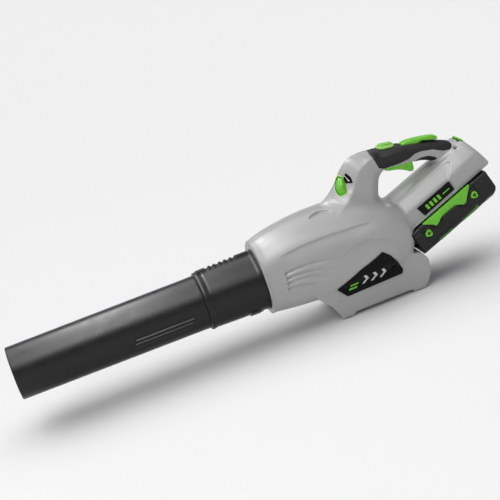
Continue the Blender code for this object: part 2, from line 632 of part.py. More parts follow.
# ---- battery ----
top = box("battery_top", (0, -53.5, -9), (164, 53.5, -0.7), BLACK, frame=DOCK_M)
top = cut(top, box("t1", (2.4, -51, -11), (161.6, 51, -3.1), frame=DOCK_M, cutter=True))
rail = box("rail", (0.0, -27.3, -2.5), (158, 27.3, 10.5), frame=DOCK_M)
rail = fuse(rail, box("rail_head", (0.0, -33.3, 8.3), (158, 33.3, 14.2), frame=DOCK_M))
top = fuse(top, rail)
top = cut(top, box("rail_hollow", (30, -24, -6), (155, 24, 11.5), frame=DOCK_M, cutter=True))
top = cut(top, *[box("ts", (-2, y - 0.9, 9.0), (27.5, y + 0.9, 16), frame=DOCK_M, cutter=True) for y in BLADE_Y])
top.data.materials.clear()
top.data.materials.append(BLACK)
tray = box("battery_tray", (0, -53.5, -48), (164, 53.5, -2), BLACK, frame=DOCK_M, bevel=5.0)
tray = boolean(tray, box("tt", (-5, -60, -60), (170, 60, -9.3), frame=DOCK_M), "INTERSECT")
tray = cut(tray, box("t2", (2.4, -51, -45.4), (161.6, 51, 0), frame=DOCK_M, cutter=True))
tray.data.materials.clear()
tray.data.materials.append(BLACK)
cells = []
for i in range(7):
    for j in range(2):
        s, t = 22 + 18.7 * i, -31.6 + 18.7 * j
        cells.append(rod("cell", (s, -32.5, t), (s, 32.5, t), 9.15, n=10, frame=DOCK_M))
pack = box("cell_pack", (16, -33.2, -37), (47, -32.2, -7.5), CELL, frame=DOCK_M)
for i in range(1, 4):
    cells.append(box("strap", (16 + 37.4 * i, -33.2, -37), (47 + 37.4 * i - 18.7 * (i == 3), -32.2, -7.5), frame=DOCK_M))
for i in range(3):
    cells.append(box("strap", (34.7 + 37.4 * i, 32.2, -37), (65.7 + 37.4 * i, 33.2, -7.5), frame=DOCK_M))
pack = fuse(pack, *cells)
pack.data.materials.clear()
pack.data.materials.append(CELL)
bms = box("battery_board", (14, 37, -38), (146, 38.6, -7), BOARD, frame=DOCK_M)

PANEL = [(27, -1.2), (128, -1.2), (120, -12), (119, -43.5), (38, -43.5), (36, -12)]
GUARD = [(17, -18), (19, -28), (27, -35), (40, -38.5), (106, -38.5), (121, -34), (131, -27), (134, -18), (130, -11), (122, -11.5),
         (109, -20.5), (99, -21.8), (96, -21.8), (90.5, -13.2), (60.5, -13.2), (54, -16.5), (44, -19), (34, -12.5), (24, -10.5)]
BOLTS = (25.5, -19), (125, -20)
for hand, side in (("left", -1), ("right", 1)):
    y0, y1 = sorted((side * 53.8, side * 54.7))
    panel = outline("battery_panel_" + hand, PANEL, y0, y1, frame=DOCK_M)
    for (s, t), (s1, t1) in zip(BOLTS, ((48, -14), (105, -14))):
        arm = [(s, t - 1.5), (s1, t1 - 1.5), (s1, t1 + 1.5), (s, t + 1.5)]
        panel = fuse(panel, outline("arm", arm, y0 + 0.1, y1 - 0.1, frame=DOCK_M))
        panel = fuse(panel, rod("boss", (s, side * 54.0, t), (s, side * 57.4, t), 3.9, n=14, frame=DOCK_M))
        panel = cut(panel, rod("bh", (s, side * 55.4, t), (s, side * 59, t), 1.8, n=6, frame=DOCK_M, cutter=True))
    panel.data.materials.clear()
    panel.data.materials.append(GREEN)
    y0, y1 = sorted((side * 55.0, side * 56.6))
    guard = outline("battery_guard_" + hand, GUARD, y0, y1, BLACK, frame=DOCK_M)
    guard = cut(guard, *[rod("gh", (s, -60, t), (s, 60, t), 4.2, n=14, frame=DOCK_M, cutter=True) for s, t in BOLTS])

# ---- badges and labels ----
BADGE_PTS = [(108, 55), (152, 78), (196, 95), (208, 84), (222, 62), (228, 46), (225, 39), (124, 36)]
for name, side in (("badge_left", -1), ("badge_right", 1)):
    y0, y1 = sorted((side * 30, side * 95))
    patch = outline(name, BADGE_PTS, y0, y1, BADGE)
    far = fuse(body_solid("far", -1.3), skid_solid("far_skid", -1.3))
    near = fuse(body_solid("near", -0.3), skid_solid("near_skid", -0.3))
    patch = boolean(patch, far, "INTERSECT")
    patch = cut(patch, near)
    patch.data.materials.clear()
    patch.data.materials.append(BADGE)
for hand, side in (("left", -1), ("right", 1)):
    y0, y1 = sorted((side * 48.3, side * 49.1))
    box("dock_label_" + hand, (37.5, y0, 6), (106, y1, 25), BADGE, frame=DOCK_M)

# ---- finish: material for every piece, smooth shading on round work ----
DEFAULTS = {"housing_left": SHELL, "housing_right": SHELL, "grip_skin": RUBBER}
for o in PARTS.objects:
    if o.name in DEFAULTS:
        o.data.materials.clear()
        o.data.materials.append(DEFAULTS[o.name])
    o.data.name = o.name
    for p in o.data.polygons:
        p.use_smooth = True
    o.data.set_sharp_from_angle(angle=math.radians(32))
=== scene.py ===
"""Looks of the cordless leaf blower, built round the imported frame.

Lengths are millimetres in the part's own frame (x = 0 at the joint between tube and body) until they become vertices.
Moulded pieces are distance fields on a grid, meshed by surface nets, so that their blends, grooves and rounded edges are real geometry.
"""
import json
import math

import bmesh
import bpy
import numpy as np
from mathutils import Matrix, Vector
from mathutils.bvhtree import BVHTree

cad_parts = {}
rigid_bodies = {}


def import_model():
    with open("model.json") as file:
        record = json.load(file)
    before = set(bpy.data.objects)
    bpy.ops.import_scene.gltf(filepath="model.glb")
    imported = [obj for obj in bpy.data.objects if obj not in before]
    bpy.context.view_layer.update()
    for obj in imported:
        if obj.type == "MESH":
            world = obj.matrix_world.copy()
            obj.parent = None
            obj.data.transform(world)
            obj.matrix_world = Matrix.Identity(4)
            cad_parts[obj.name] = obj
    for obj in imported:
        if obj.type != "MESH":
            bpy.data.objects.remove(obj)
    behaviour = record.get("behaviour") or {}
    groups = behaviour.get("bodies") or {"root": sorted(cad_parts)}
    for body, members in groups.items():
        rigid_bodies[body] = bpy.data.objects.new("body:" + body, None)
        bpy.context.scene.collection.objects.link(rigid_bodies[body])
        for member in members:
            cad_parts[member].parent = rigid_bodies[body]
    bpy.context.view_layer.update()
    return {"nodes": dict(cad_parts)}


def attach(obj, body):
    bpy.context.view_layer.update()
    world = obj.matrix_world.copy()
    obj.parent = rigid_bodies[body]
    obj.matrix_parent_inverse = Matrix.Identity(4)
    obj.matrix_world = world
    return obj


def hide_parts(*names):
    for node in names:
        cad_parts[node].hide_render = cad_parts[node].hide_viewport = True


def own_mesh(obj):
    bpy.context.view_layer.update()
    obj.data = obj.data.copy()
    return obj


for o in list(bpy.data.objects):
    bpy.data.objects.remove(o, do_unlink=True)
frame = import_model()
NODES = frame["nodes"]
F32 = np.float32
X_SHIFT = -2.0
AXIS = 101.0

# ------------------------------------------------------------------ frames
A21 = math.radians(21.0)
CA, SA = math.cos(A21), math.sin(A21)
BODY_M = Matrix.Translation(Vector((X_SHIFT, 0, 0)))
DOCK_M = Matrix.Translation(Vector((256.0 + X_SHIFT, 0, 98.0))) @ Matrix.Rotation(-A21, 4, "Y")
BOOST_M = BODY_M @ Matrix.Translation(Vector((270, 0, 242.2))) @ Matrix.Rotation(math.radians(8.0), 4, "Y")
SLOPE_M = DOCK_M @ Matrix.Translation(Vector((174.0, 0, 45.0))) @ Matrix.Rotation(math.radians(90 - 10.2), 4, "Y")
DIAL = np.array((184.9, -2.7, 199.5))
DIAL_AXIS = np.array((0.663, -0.731, 0.19)) / np.linalg.norm((0.663, -0.731, 0.19))
DIAL_R = 22.0


# ------------------------------------------------------------------ distance-field kit
def smax(a, b, k):
    h = np.clip(0.5 + 0.5 * (a - b) / k, 0, 1)
    return b + (a - b) * h + k * h * (1 - h)


def smin(a, b, k):
    return -smax(-a, -b, k)


def sstep(a, b, v):
    t = np.clip((v - a) / (b - a), 0, 1)
    return t * t * (3 - 2 * t)


class Grid:
    def __init__(self, lo, hi, h):
        self.lo, self.h = np.array(lo, float), float(h)
        n = [int(math.ceil((hi[k] - lo[k]) / h)) + 1 for k in range(3)]
        ax = [(lo[k] + h * np.arange(n[k])).astype(F32) for k in range(3)]
        self.x, self.y, self.z = ax[0][:, None, None], ax[1][None, :, None], ax[2][None, None, :]
        self.shape = tuple(n)

    def full(self, v):
        return np.broadcast_to(v, self.shape).astype(F32)


def box_d(g, lo, hi, r=0.0):
    q = [np.abs(c - (lo[k] + hi[k]) / 2) - ((hi[k] - lo[k]) / 2 - r) for k, c in enumerate((g.x, g.y, g.z))]
    out = np.sqrt(np.maximum(q[0], 0) ** 2 + np.maximum(q[1], 0) ** 2 + np.maximum(q[2], 0) ** 2)
    return out + np.minimum(np.maximum(np.maximum(q[0], q[1]), q[2]), 0) - r


def poly_d(px, pz, pts, closed=True):
    """Signed distance to an outline, negative inside, for arrays of any equal shape."""
    d = np.full(px.shape, 1e9)
    inside = np.zeros(px.shape, bool)
    n = len(pts)
    for i in range(n if closed else n - 1):
        (ax, az), (bx, bz) = pts[i], pts[(i + 1) % n]
        ex, ez = bx - ax, bz - az
        wx, wz = px - ax, pz - az
        t = np.clip((wx * ex + wz * ez) / (ex * ex + ez * ez + 1e-12), 0, 1)
        d = np.minimum(d, (wx - ex * t) ** 2 + (wz - ez * t) ** 2)
        if closed:
            c = (az > pz) != (bz > pz)
            inside ^= c & (px < ex * (pz - az) / (ez if abs(ez) > 1e-12 else 1e-12) + ax)
    d = np.sqrt(d)
    return np.where(inside, -d, d) if closed else d


def line_d(px, pz, pts):
    """Distance to an open line, signed by the side, and the place along it in whole points."""
    best = np.full(px.shape, 1e18)
    sign, place = np.zeros(px.shape), np.zeros(px.shape)
    n = len(pts)
    for i in range(n - 1):
        (ax, az), (bx, bz) = pts[i], pts[i + 1]
        ex, ez = bx - ax, bz - az
        wx, wz = px - ax, pz - az
        raw = (wx * ex + wz * ez) / (ex * ex + ez * ez)
        t = np.clip(raw, 0, 1)
        d2 = (wx - ex * t) ** 2 + (wz - ez * t) ** 2
        cross = (ex * wz - ez * wx) / math.hypot(ex, ez)
        end = ((i == 0) & (raw < 0)) | ((i == n - 2) & (raw > 1))
        d2 = np.where(end, cross ** 2, d2)
        m = d2 < best
        best = np.where(m, d2, best)
        sign = np.where(m, np.sign(cross), sign)
        place = np.where(m, i + t, place)
    return np.sqrt(best) * sign, place


def spline(pts, per=6):
    """Catmull-Rom through points of any width."""
    p = np.array(pts, float)
    p = np.vstack([2 * p[0] - p[1], p, 2 * p[-1] - p[-2]])
    out = []
    for i in range(1, len(p) - 2):
        for t in np.arange(per) / per:
            a, b, c, d = p[i - 1], p[i], p[i + 1], p[i + 2]
            out.append(0.5 * (2 * b + (c - a) * t + (2 * a - 5 * b + 4 * c - d) * t * t + (3 * b - a - 3 * c + d) * t ** 3))
    out.append(p[-2])
    return np.array(out)


def prism(g, pts, y0, y1, r=0.0, k=None, along="y"):
    """An outline made solid between two values of the third axis, with rounded edges."""
    u, v, w = {"y": (g.x, g.z, g.y), "z": (g.x, g.y, g.z), "x": (g.y, g.z, g.x)}[along]
    shape = {"y": (g.shape[0], 1, g.shape[2]), "z": (g.shape[0], g.shape[1], 1), "x": (1, g.shape[1], g.shape[2])}[along]
    d2 = poly_d(np.broadcast_to(u, shape).astype(float), np.broadcast_to(v, shape).astype(float), pts).astype(F32)
    qx, qy = d2 + r, np.abs(w - (y0 + y1) / 2) - (abs(y1 - y0) / 2 - r)
    return np.sqrt(np.maximum(qx, 0) ** 2 + np.maximum(qy, 0) ** 2) + np.minimum(np.maximum(qx, qy), 0) - r


def cyl_d(g, p0, p1, rad, r=0.0):
    a, b = np.array(p0, float), np.array(p1, float)
    n = (b - a) / np.linalg.norm(b - a)
    c, half = (a + b) / 2, np.linalg.norm(b - a) / 2
    dx, dy, dz = g.x - c[0], g.y - c[1], g.z - c[2]
    s = dx * n[0] + dy * n[1] + dz * n[2]
    rr = np.sqrt(np.maximum(dx * dx + dy * dy + dz * dz - s * s, 0))
    qx, qy = rr - (rad - r), np.abs(s) - (half - r)
    return np.sqrt(np.maximum(qx, 0) ** 2 + np.maximum(qy, 0) ** 2) + np.minimum(np.maximum(qx, qy), 0) - r


PAIRS = [(0, 1), (2, 3), (4, 5), (6, 7), (0, 2), (1, 3), (4, 6), (5, 7), (0, 4), (1, 5), (2, 6), (3, 7)]


def sample(f, p):
    i = np.minimum(np.maximum(p.astype(np.int32), 0), np.array(f.shape, np.int32) - 2)
    t = (p - i).astype(F32)
    flat, s0, s1 = f.ravel(), f.shape[1] * f.shape[2], f.shape[2]
    base = i[:, 0].astype(np.int64) * s0 + i[:, 1] * s1 + i[:, 2]
    tx, ty, tz = t[:, 0], t[:, 1], t[:, 2]
    lo = (flat[base] * (1 - tz) + flat[base + 1] * tz) * (1 - ty) + (flat[base + s1] * (1 - tz) + flat[base + s1 + 1] * tz) * ty
    base = base + s0
    hi = (flat[base] * (1 - tz) + flat[base + 1] * tz) * (1 - ty) + (flat[base + s1] * (1 - tz) + flat[base + s1 + 1] * tz) * ty
    return lo * (1 - tx) + hi * tx


def net(f, grid, smooth=2):
    """Surface nets: vertices and outward quads of the zero level of f."""
    f = np.ascontiguousarray(f, dtype=F32)
    f = np.where(np.abs(f) < 1e-4, F32(1e-4), f)
    ins = f < 0
    nx, ny, nz = f.shape
    count = np.zeros((nx - 1, ny - 1, nz - 1), np.uint8)
    for c in range(8):
        dx, dy, dz = c >> 2 & 1, c >> 1 & 1, c & 1
        count += ins[dx:nx - 1 + dx, dy:ny - 1 + dy, dz:nz - 1 + dz]
    cell = (count > 0) & (count < 8)
    idx = np.full(cell.shape, -1, np.int32)
    I, J, K = np.nonzero(cell)
    idx[I, J, K] = np.arange(len(I))
    vals = [f[I + (c >> 2 & 1), J + (c >> 1 & 1), K + (c & 1)] for c in range(8)]
    pos, num = np.zeros((len(I), 3), F32), np.zeros(len(I), F32)
    for a, b in PAIRS:
        va, vb = vals[a], vals[b]
        m = (va < 0) != (vb < 0)
        t = np.where(m, va / np.where(m, va - vb, 1), 0)
        pa = np.array((a >> 2 & 1, a >> 1 & 1, a & 1), F32)
        pb = np.array((b >> 2 & 1, b >> 1 & 1, b & 1), F32)
        pos += np.where(m[:, None], pa + t[:, None] * (pb - pa), 0)
        num += m
    base = np.stack([I, J, K], 1).astype(F32)
    p = base + pos / num[:, None]
    quads = []
    for axis in range(3):
        s = [slice(1, -1)] * 3
        s[axis] = slice(0, -1)
        t = [slice(1, -1)] * 3
        t[axis] = slice(1, None)
        low, high = ins[tuple(s)], ins[tuple(t)]
        e = np.array(np.nonzero(low != high))
        u, v = [(1, 2), (2, 0), (0, 1)][axis]
        e[u] += 1
        e[v] += 1
        q = []
        for du, dv in ((1, 1), (0, 1), (0, 0), (1, 0)):
            c = e.copy()
            c[u] -= du
            c[v] -= dv
            q.append(idx[c[0], c[1], c[2]])
        q = np.stack(q, 1)
        out = ins[e[0], e[1], e[2]]
        q[~out] = q[~out][:, ::-1]
        quads.append(q)
    q = np.concatenate(quads)
    pairs = np.concatenate([q[:, [0, 1]], q[:, [1, 2]], q[:, [2, 3]], q[:, [3, 0]]])
    n = len(p)
    deg = np.bincount(pairs[:, 0], minlength=n) + np.bincount(pairs[:, 1], minlength=n)
    for step in range(smooth + 1):
        if step < smooth:
            avg = np.stack([np.bincount(pairs[:, 0], p[pairs[:, 1], k], n) + np.bincount(pairs[:, 1], p[pairs[:, 0], k], n) for k in range(3)], 1)
            p = p + 0.6 * ((avg / np.maximum(deg, 1)[:, None]).astype(F32) - p)
        for _ in range(2 if step < smooth else 3):
            v = sample(f, p)
            gr = np.stack([sample(f, p + np.eye(3, dtype=F32)[k] * 0.5) - sample(f, p - np.eye(3, dtype=F32)[k] * 0.5) for k in range(3)], 1)
            g2 = np.maximum((gr ** 2).sum(1), 0.09 * grid.h ** 2)
            move = -(v / g2)[:, None] * gr
            ln = np.linalg.norm(move, axis=1, keepdims=True)
            p = p + move * np.minimum(1, 0.35 / np.maximum(ln, 1e-9))
        p = np.clip(p, base - 0.35, base + 1.35)
    return grid.lo + p * grid.h, q


def make(name, verts, faces, mat, to_world=BODY_M, smooth=True, sharp=None):
    """A mesh object in metres from vertices in the given frame's millimetres."""
    v = np.asarray(verts, float)
    m = np.array(to_world)
    v = (v @ m[:3, :3].T + m[:3, 3]) * 0.001
    me = bpy.data.meshes.new(name)
    if isinstance(faces, np.ndarray):
        n, k = faces.shape
        me.vertices.add(len(v))
        me.vertices.foreach_set("co", v.astype(F32).ravel())
        me.loops.add(n * k)
        me.loops.foreach_set("vertex_index", faces.astype(np.int32).ravel())
        me.polygons.add(n)
        me.polygons.foreach_set("loop_start", (np.arange(n) * k).astype(np.int32))
        me.update(calc_edges=True)
        me.validate()
    else:
        me.from_pydata([tuple(c) for c in v], [], faces)
    if smooth:
        me.polygons.foreach_set("use_smooth", np.ones(len(me.polygons), bool))
    if sharp:
        me.set_sharp_from_angle(angle=math.radians(sharp))
    o = bpy.data.objects.new(name, me)
    bpy.context.scene.collection.objects.link(o)
    me.materials.append(mat)
    return o


def drop_crumbs(v, q, least=60):
    """Leaves out specks that the grid cuts loose."""
    n = len(v)
    label = np.arange(n)
    e = np.concatenate([q[:, [0, 1]], q[:, [1, 2]], q[:, [2, 3]], q[:, [3, 0]]])
    while True:
        low = np.minimum(label[e[:, 0]], label[e[:, 1]])
        new = label.copy()
        np.minimum.at(new, e[:, 0], low)
        np.minimum.at(new, e[:, 1], low)
        new = new[new]
        if (new == label).all():
            break
        label = new
    size = np.bincount(label, minlength=n)
    keep = size[label] >= least
    ids = np.cumsum(keep) - 1
    q = q[keep[q].all(1)]
    return v[keep], ids[q]


def moulded(name, g, d, mat, body, nodes=(), to_world=BODY_M, smooth=2, least=60, slot=None):
    v, q = net(d, g, smooth)
    v, q = drop_crumbs(v, q, least)
    o = make(name, v, q, mat, to_world)
    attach(o, body)
    if nodes:
        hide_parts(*nodes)
    return o

# ------------------------------------------------------------------ procedural materials
def material(name, colour, rough, metal=0.0, tone=0.04, tone_scale=18.0, rough_var=0.06, grain=0.12, grain_scale=1400.0,
             second=0.0, second_scale=220.0, spec=0.5, coat=0.0, edge_wear_and_sheen=0.0, edge_wear_and_sheen_colour=None, brushed=None):
    """Moulded plastic, rubber or metal: drifting tone, uneven gloss, fine spark-eroded grain, and lighter sharp edges:
    rubbed wear on the grey shell, a painted edge highlight on the black case.
    """
    m = bpy.data.materials.new(name)
    m.use_nodes = True
    nt = m.node_tree
    b = nt.nodes["Principled BSDF"]
    b.inputs["Metallic"].default_value = metal
    b.inputs["Specular IOR Level"].default_value = spec
    b.inputs["Coat Weight"].default_value = coat
    b.inputs["Coat Roughness"].default_value = 0.06
    new, link = nt.nodes.new, nt.links.new
    pos = new("ShaderNodeTexCoord").outputs["Object"]
    if brushed:
        mp = new("ShaderNodeMapping")
        mp.inputs["Scale"].default_value = brushed
        link(pos, mp.inputs["Vector"])
        grain_pos = mp.outputs["Vector"]
    else:
        grain_pos = pos

    def noise(scale, detail=3.0, vec=pos, roughness=0.55):
        n = new("ShaderNodeTexNoise")
        n.inputs["Scale"].default_value = scale
        n.inputs["Detail"].default_value = detail
        n.inputs["Roughness"].default_value = roughness
        link(vec, n.inputs["Vector"])
        return n.outputs["Fac"]

    def ramp(fac, lo, hi, c0, c1):
        r = new("ShaderNodeValToRGB")
        r.color_ramp.elements[0].position, r.color_ramp.elements[1].position = lo, hi
        r.color_ramp.elements[0].color, r.color_ramp.elements[1].color = (*c0, 1), (*c1, 1)
        link(fac, r.inputs["Fac"])
        return r.outputs["Color"]

    dark = tuple(c * (1 - tone) for c in colour)
    light = tuple(min(1.0, c * (1 + tone)) for c in colour)
    col = ramp(noise(tone_scale, 4.0), 0.3, 0.7, dark, light)
    # sharp edges lightened by pointiness: rubbed wear on the grey shell, a painted edge highlight on the black case
    if edge_wear_and_sheen:
        geo = new("ShaderNodeNewGeometry")
        edge = ramp(geo.outputs["Pointiness"], 0.52, 0.62, (0, 0, 0), (edge_wear_and_sheen,) * 3)
        edge_lightening = new("ShaderNodeMath")
        edge_lightening.operation = "MULTIPLY"
        link(edge, edge_lightening.inputs[0])
        link(noise(90.0, 5.0), edge_lightening.inputs[1])
        mix = new("ShaderNodeMix")
        mix.data_type = "RGBA"
        link(edge_lightening.outputs[0], mix.inputs["Factor"])
        link(col, mix.inputs["A"])
        mix.inputs["B"].default_value = (*(edge_wear_and_sheen_colour or light), 1)
        col = mix.outputs["Result"]
    link(col, b.inputs["Base Color"])
    mr = new("ShaderNodeMapRange")
    mr.inputs["From Min"].default_value, mr.inputs["From Max"].default_value = 0.3, 0.7
    mr.inputs["To Min"].default_value, mr.inputs["To Max"].default_value = max(0.02, rough - rough_var), min(1, rough + rough_var)
    link(noise(55.0, 5.0), mr.inputs["Value"])
    link(mr.outputs["Result"], b.inputs["Roughness"])
    bump = new("ShaderNodeBump")
    bump.inputs["Strength"].default_value = grain
    bump.inputs["Distance"].default_value = 0.0002
    link(noise(grain_scale, 2.0, grain_pos), bump.inputs["Height"])
    normal = bump.outputs["Normal"]
    if second:
        b2 = new("ShaderNodeBump")
        b2.inputs["Strength"].default_value = second
        b2.inputs["Distance"].default_value = 0.0006
        link(noise(second_scale, 3.0), b2.inputs["Height"])
        link(normal, b2.inputs["Normal"])
        normal = b2.outputs["Normal"]
    link(normal, b.inputs["Normal"])
    return m


SHELL = material("shell_grey_plastic", (0.40, 0.40, 0.396), 0.34, tone=0.035, tone_scale=9.0, rough_var=0.05, grain=0.16, grain_scale=1500, edge_wear_and_sheen=0.25, edge_wear_and_sheen_colour=(0.62, 0.62, 0.61))
GRIP = material("grip_soft_black", (0.0055, 0.0055, 0.006), 0.44, tone=0.10, rough_var=0.07, grain=0.3, grain_scale=900, spec=0.38)
PAD = material("pad_rubber", (0.012, 0.012, 0.013), 0.72, tone=0.12, rough_var=0.08, grain=0.4, grain_scale=1100)
TUBE = material("tube_charcoal", (0.011, 0.0114, 0.012), 0.31, spec=0.28, tone=0.06, tone_scale=12, rough_var=0.05, grain=0.05, grain_scale=1700, second=0.03, second_scale=60)
# black pieces: their sharp edges are lightened as a painted edge highlight
BLACK = material("case_black", (0.0055, 0.0055, 0.006), 0.28, spec=0.32, tone=0.10, rough_var=0.07, grain=0.22, grain_scale=1300, edge_wear_and_sheen=0.6, edge_wear_and_sheen_colour=(0.09, 0.09, 0.095))
GREEN = material("accent_green", (0.150, 0.565, 0.018), 0.30, tone=0.07, tone_scale=30, rough_var=0.05, grain=0.12, grain_scale=1500)
GREEN_LIGHT = material("accent_green_light", (0.38, 0.74, 0.18), 0.30, tone=0.06, tone_scale=30, rough_var=0.05, grain=0.12, grain_scale=1500)
# the accent green darkened as painted shade, used on the low battery panels
GREEN_PAINTED_SHADE = material("accent_green_painted_shade", (0.055, 0.20, 0.025), 0.42, tone=0.08, tone_scale=30, rough_var=0.05, grain=0.15, grain_scale=1500)
GLOSS = material("badge_gloss_black", (0.002, 0.002, 0.002), 0.14, spec=0.10, tone=0.2, rough_var=0.03, grain=0.02, second=0.03, second_scale=40, coat=0.05)
MARK = material("mark_pale", (0.62, 0.63, 0.62), 0.30, tone=0.05, rough_var=0.04, grain=0.05)
STEEL = material("steel", (0.50, 0.50, 0.51), 0.30, metal=1.0, tone=0.08, rough_var=0.08, grain=0.15, grain_scale=900)
LAMINATED = material("laminated_steel", (0.36, 0.36, 0.37), 0.38, metal=1.0, tone=0.10, rough_var=0.08, grain=0.5, grain_scale=60, brushed=(22.0, 0.6, 0.6))
COPPER = material("copper_windings", (0.66, 0.27, 0.12), 0.32, metal=1.0, tone=0.12, rough_var=0.08, grain=0.6, grain_scale=140, brushed=(0.4, 8.0, 8.0))
DUCTM = material("duct_black_plastic", (0.032, 0.033, 0.035), 0.46, tone=0.08, rough_var=0.06, grain=0.2, grain_scale=1300)
BOARD = material("circuit_board", (0.012, 0.10, 0.035), 0.36, tone=0.25, tone_scale=260, rough_var=0.08, grain=0.25, grain_scale=700)
CELL = material("cell_sleeve", (0.05, 0.20, 0.30), 0.34, tone=0.08, rough_var=0.06, grain=0.12)
LEAD = material("lead_insulation", (0.35, 0.02, 0.015), 0.42, tone=0.08, rough_var=0.05, grain=0.15)
LEAD_BLACK = material("lead_insulation_black", (0.015, 0.015, 0.016), 0.42, tone=0.08, rough_var=0.05, grain=0.15)

# ------------------------------------------------------------------ housing: fields
BODY = [  # x, top, bottom, half width, exponent above, exponent below
    (0, 167, 41.5, 60, 2.0, 2.0), (14, 172.5, 39.5, 62, 2.1, 2.0), (42, 178.5, 37, 65, 2.2, 2.1),
    (78, 183, 35, 68, 2.3, 2.2), (112, 185, 33, 71, 2.3, 2.3), (146, 184, 31, 74, 2.3, 2.4),
    (180, 179, 30, 75.5, 2.3, 2.4), (210, 170, 32, 74, 2.3, 2.4), (234, 160.5, 37, 70, 2.3, 2.3),
    (252, 150, 46, 62, 2.2, 2.2), (264, 138, 60, 50, 2.1, 2.1)]
SKID = [(66, 70), (76, 48), (97, 23), (107.5, 0.8), (126.5, 0.8), (130, 5.5), (234, 5.5), (238, 0.8), (258, 0.8), (265, 8),
        (273, 22), (277, 46), (266, 62), (240, 70)]
HANDLE = [  # outer x z, inner x z, half width, depth of the front facet, half width at the crest
    (112, 140, 231, 116, 56, 15, 14), (124, 160, 232, 138, 47, 18, 9), (140, 186, 232.5, 158, 34, 24, 6), (156, 199.5, 234.5, 171, 26.5, 27, 4.5),
    (170, 213.5, 238, 183, 23.5, 28, 4), (184, 231, 242.5, 193, 22, 26, 4), (201, 243.5, 248, 200, 21, 20, 5),
    (221, 247, 254, 204, 20.4, 12, 7), (244, 245.2, 261, 205, 20, 15, 7), (268, 242.5, 272, 204, 19.8, 13, 8),
    (292, 238.5, 288, 202, 19.4, 11, 9), (316, 233.5, 305, 200.5, 19, 10, 9), (340, 227, 322, 198.5, 19, 9, 9),
    (362, 220, 337, 193, 19.2, 8, 9), (380, 212, 351, 184, 20, 8, 9), (391, 202, 361, 176, 20, 8, 9)]
RING = [(0, 0), (30, 0), (46, 0.3), (48, 2.5), (48, 23), (45.5, 31), (36, 42), (27, 49), (14, 52.5), (0, 53)]
DOCK = [(-36, 0.0, 0.9, 0.9), (12, 0.0, 1.0, 1.0), (118, 0.05, 1.0, 1.0), (150, 0.1, 0.99, 1.06), (173, 0.17, 0.97, 1.09),
        (180.5, 0.18, 0.94, 1.05), (182, 0.18, 0.93, 1.04)]
GRIP_ZONE = [(238, 262), (238, 240), (246, 214), (256, 208.5), (284, 208.5), (300, 210.5), (312, 215.5), (324, 216.5),
             (344, 212.5), (362, 203.5), (372, 202.5), (379, 207.5), (379, 226), (372, 262)]
BADGE = [(108, 55), (152, 78), (196, 95), (208, 84), (222, 62), (228, 46), (225, 39), (124, 36)]
TRIGGER_SLOT = ((252, -8.3, 176), (314, 8.3, 212))
LEVER_SLOT = ((293.5, -9.6, 212), (334, 9.6, 252))
BOSSES = [(30, 163.5), (114.5, 17.5), (248, 15.5), (222, 208), (291.5, 143.5), (356.5, 165.5)]
GROOVES = [  # centre line (x, z) and depth
    ([(32, 116), (50, 118.5), (72, 119), (96, 116.5), (120, 112.5), (142, 108.5)], 4.4),
    ([(32, 107.5), (52, 108.6), (76, 107.0), (98, 103), (118, 97.5)], 4.4),
    ([(31, 98.6), (52, 99.8), (72, 98.6), (96, 92.5), (122, 84.5)], 4.4),
    ([(30, 89.4), (46, 89.6), (62, 87.6), (84, 82.0), (104, 73)], 4.4)]


def stations(table, at):
    fine = spline(table, 8)
    return [np.interp(at, fine[:, 0], fine[:, k]) for k in range(1, fine.shape[1])]


def on_plane(g):
    """x and z of every column of the grid."""
    return (np.broadcast_to(g.x[:, 0, :], (g.shape[0], g.shape[2])).astype(float),
            np.broadcast_to(g.z[0], (g.shape[0], g.shape[2])).astype(float))


def lift(a):
    return a[:, None, :].astype(F32)


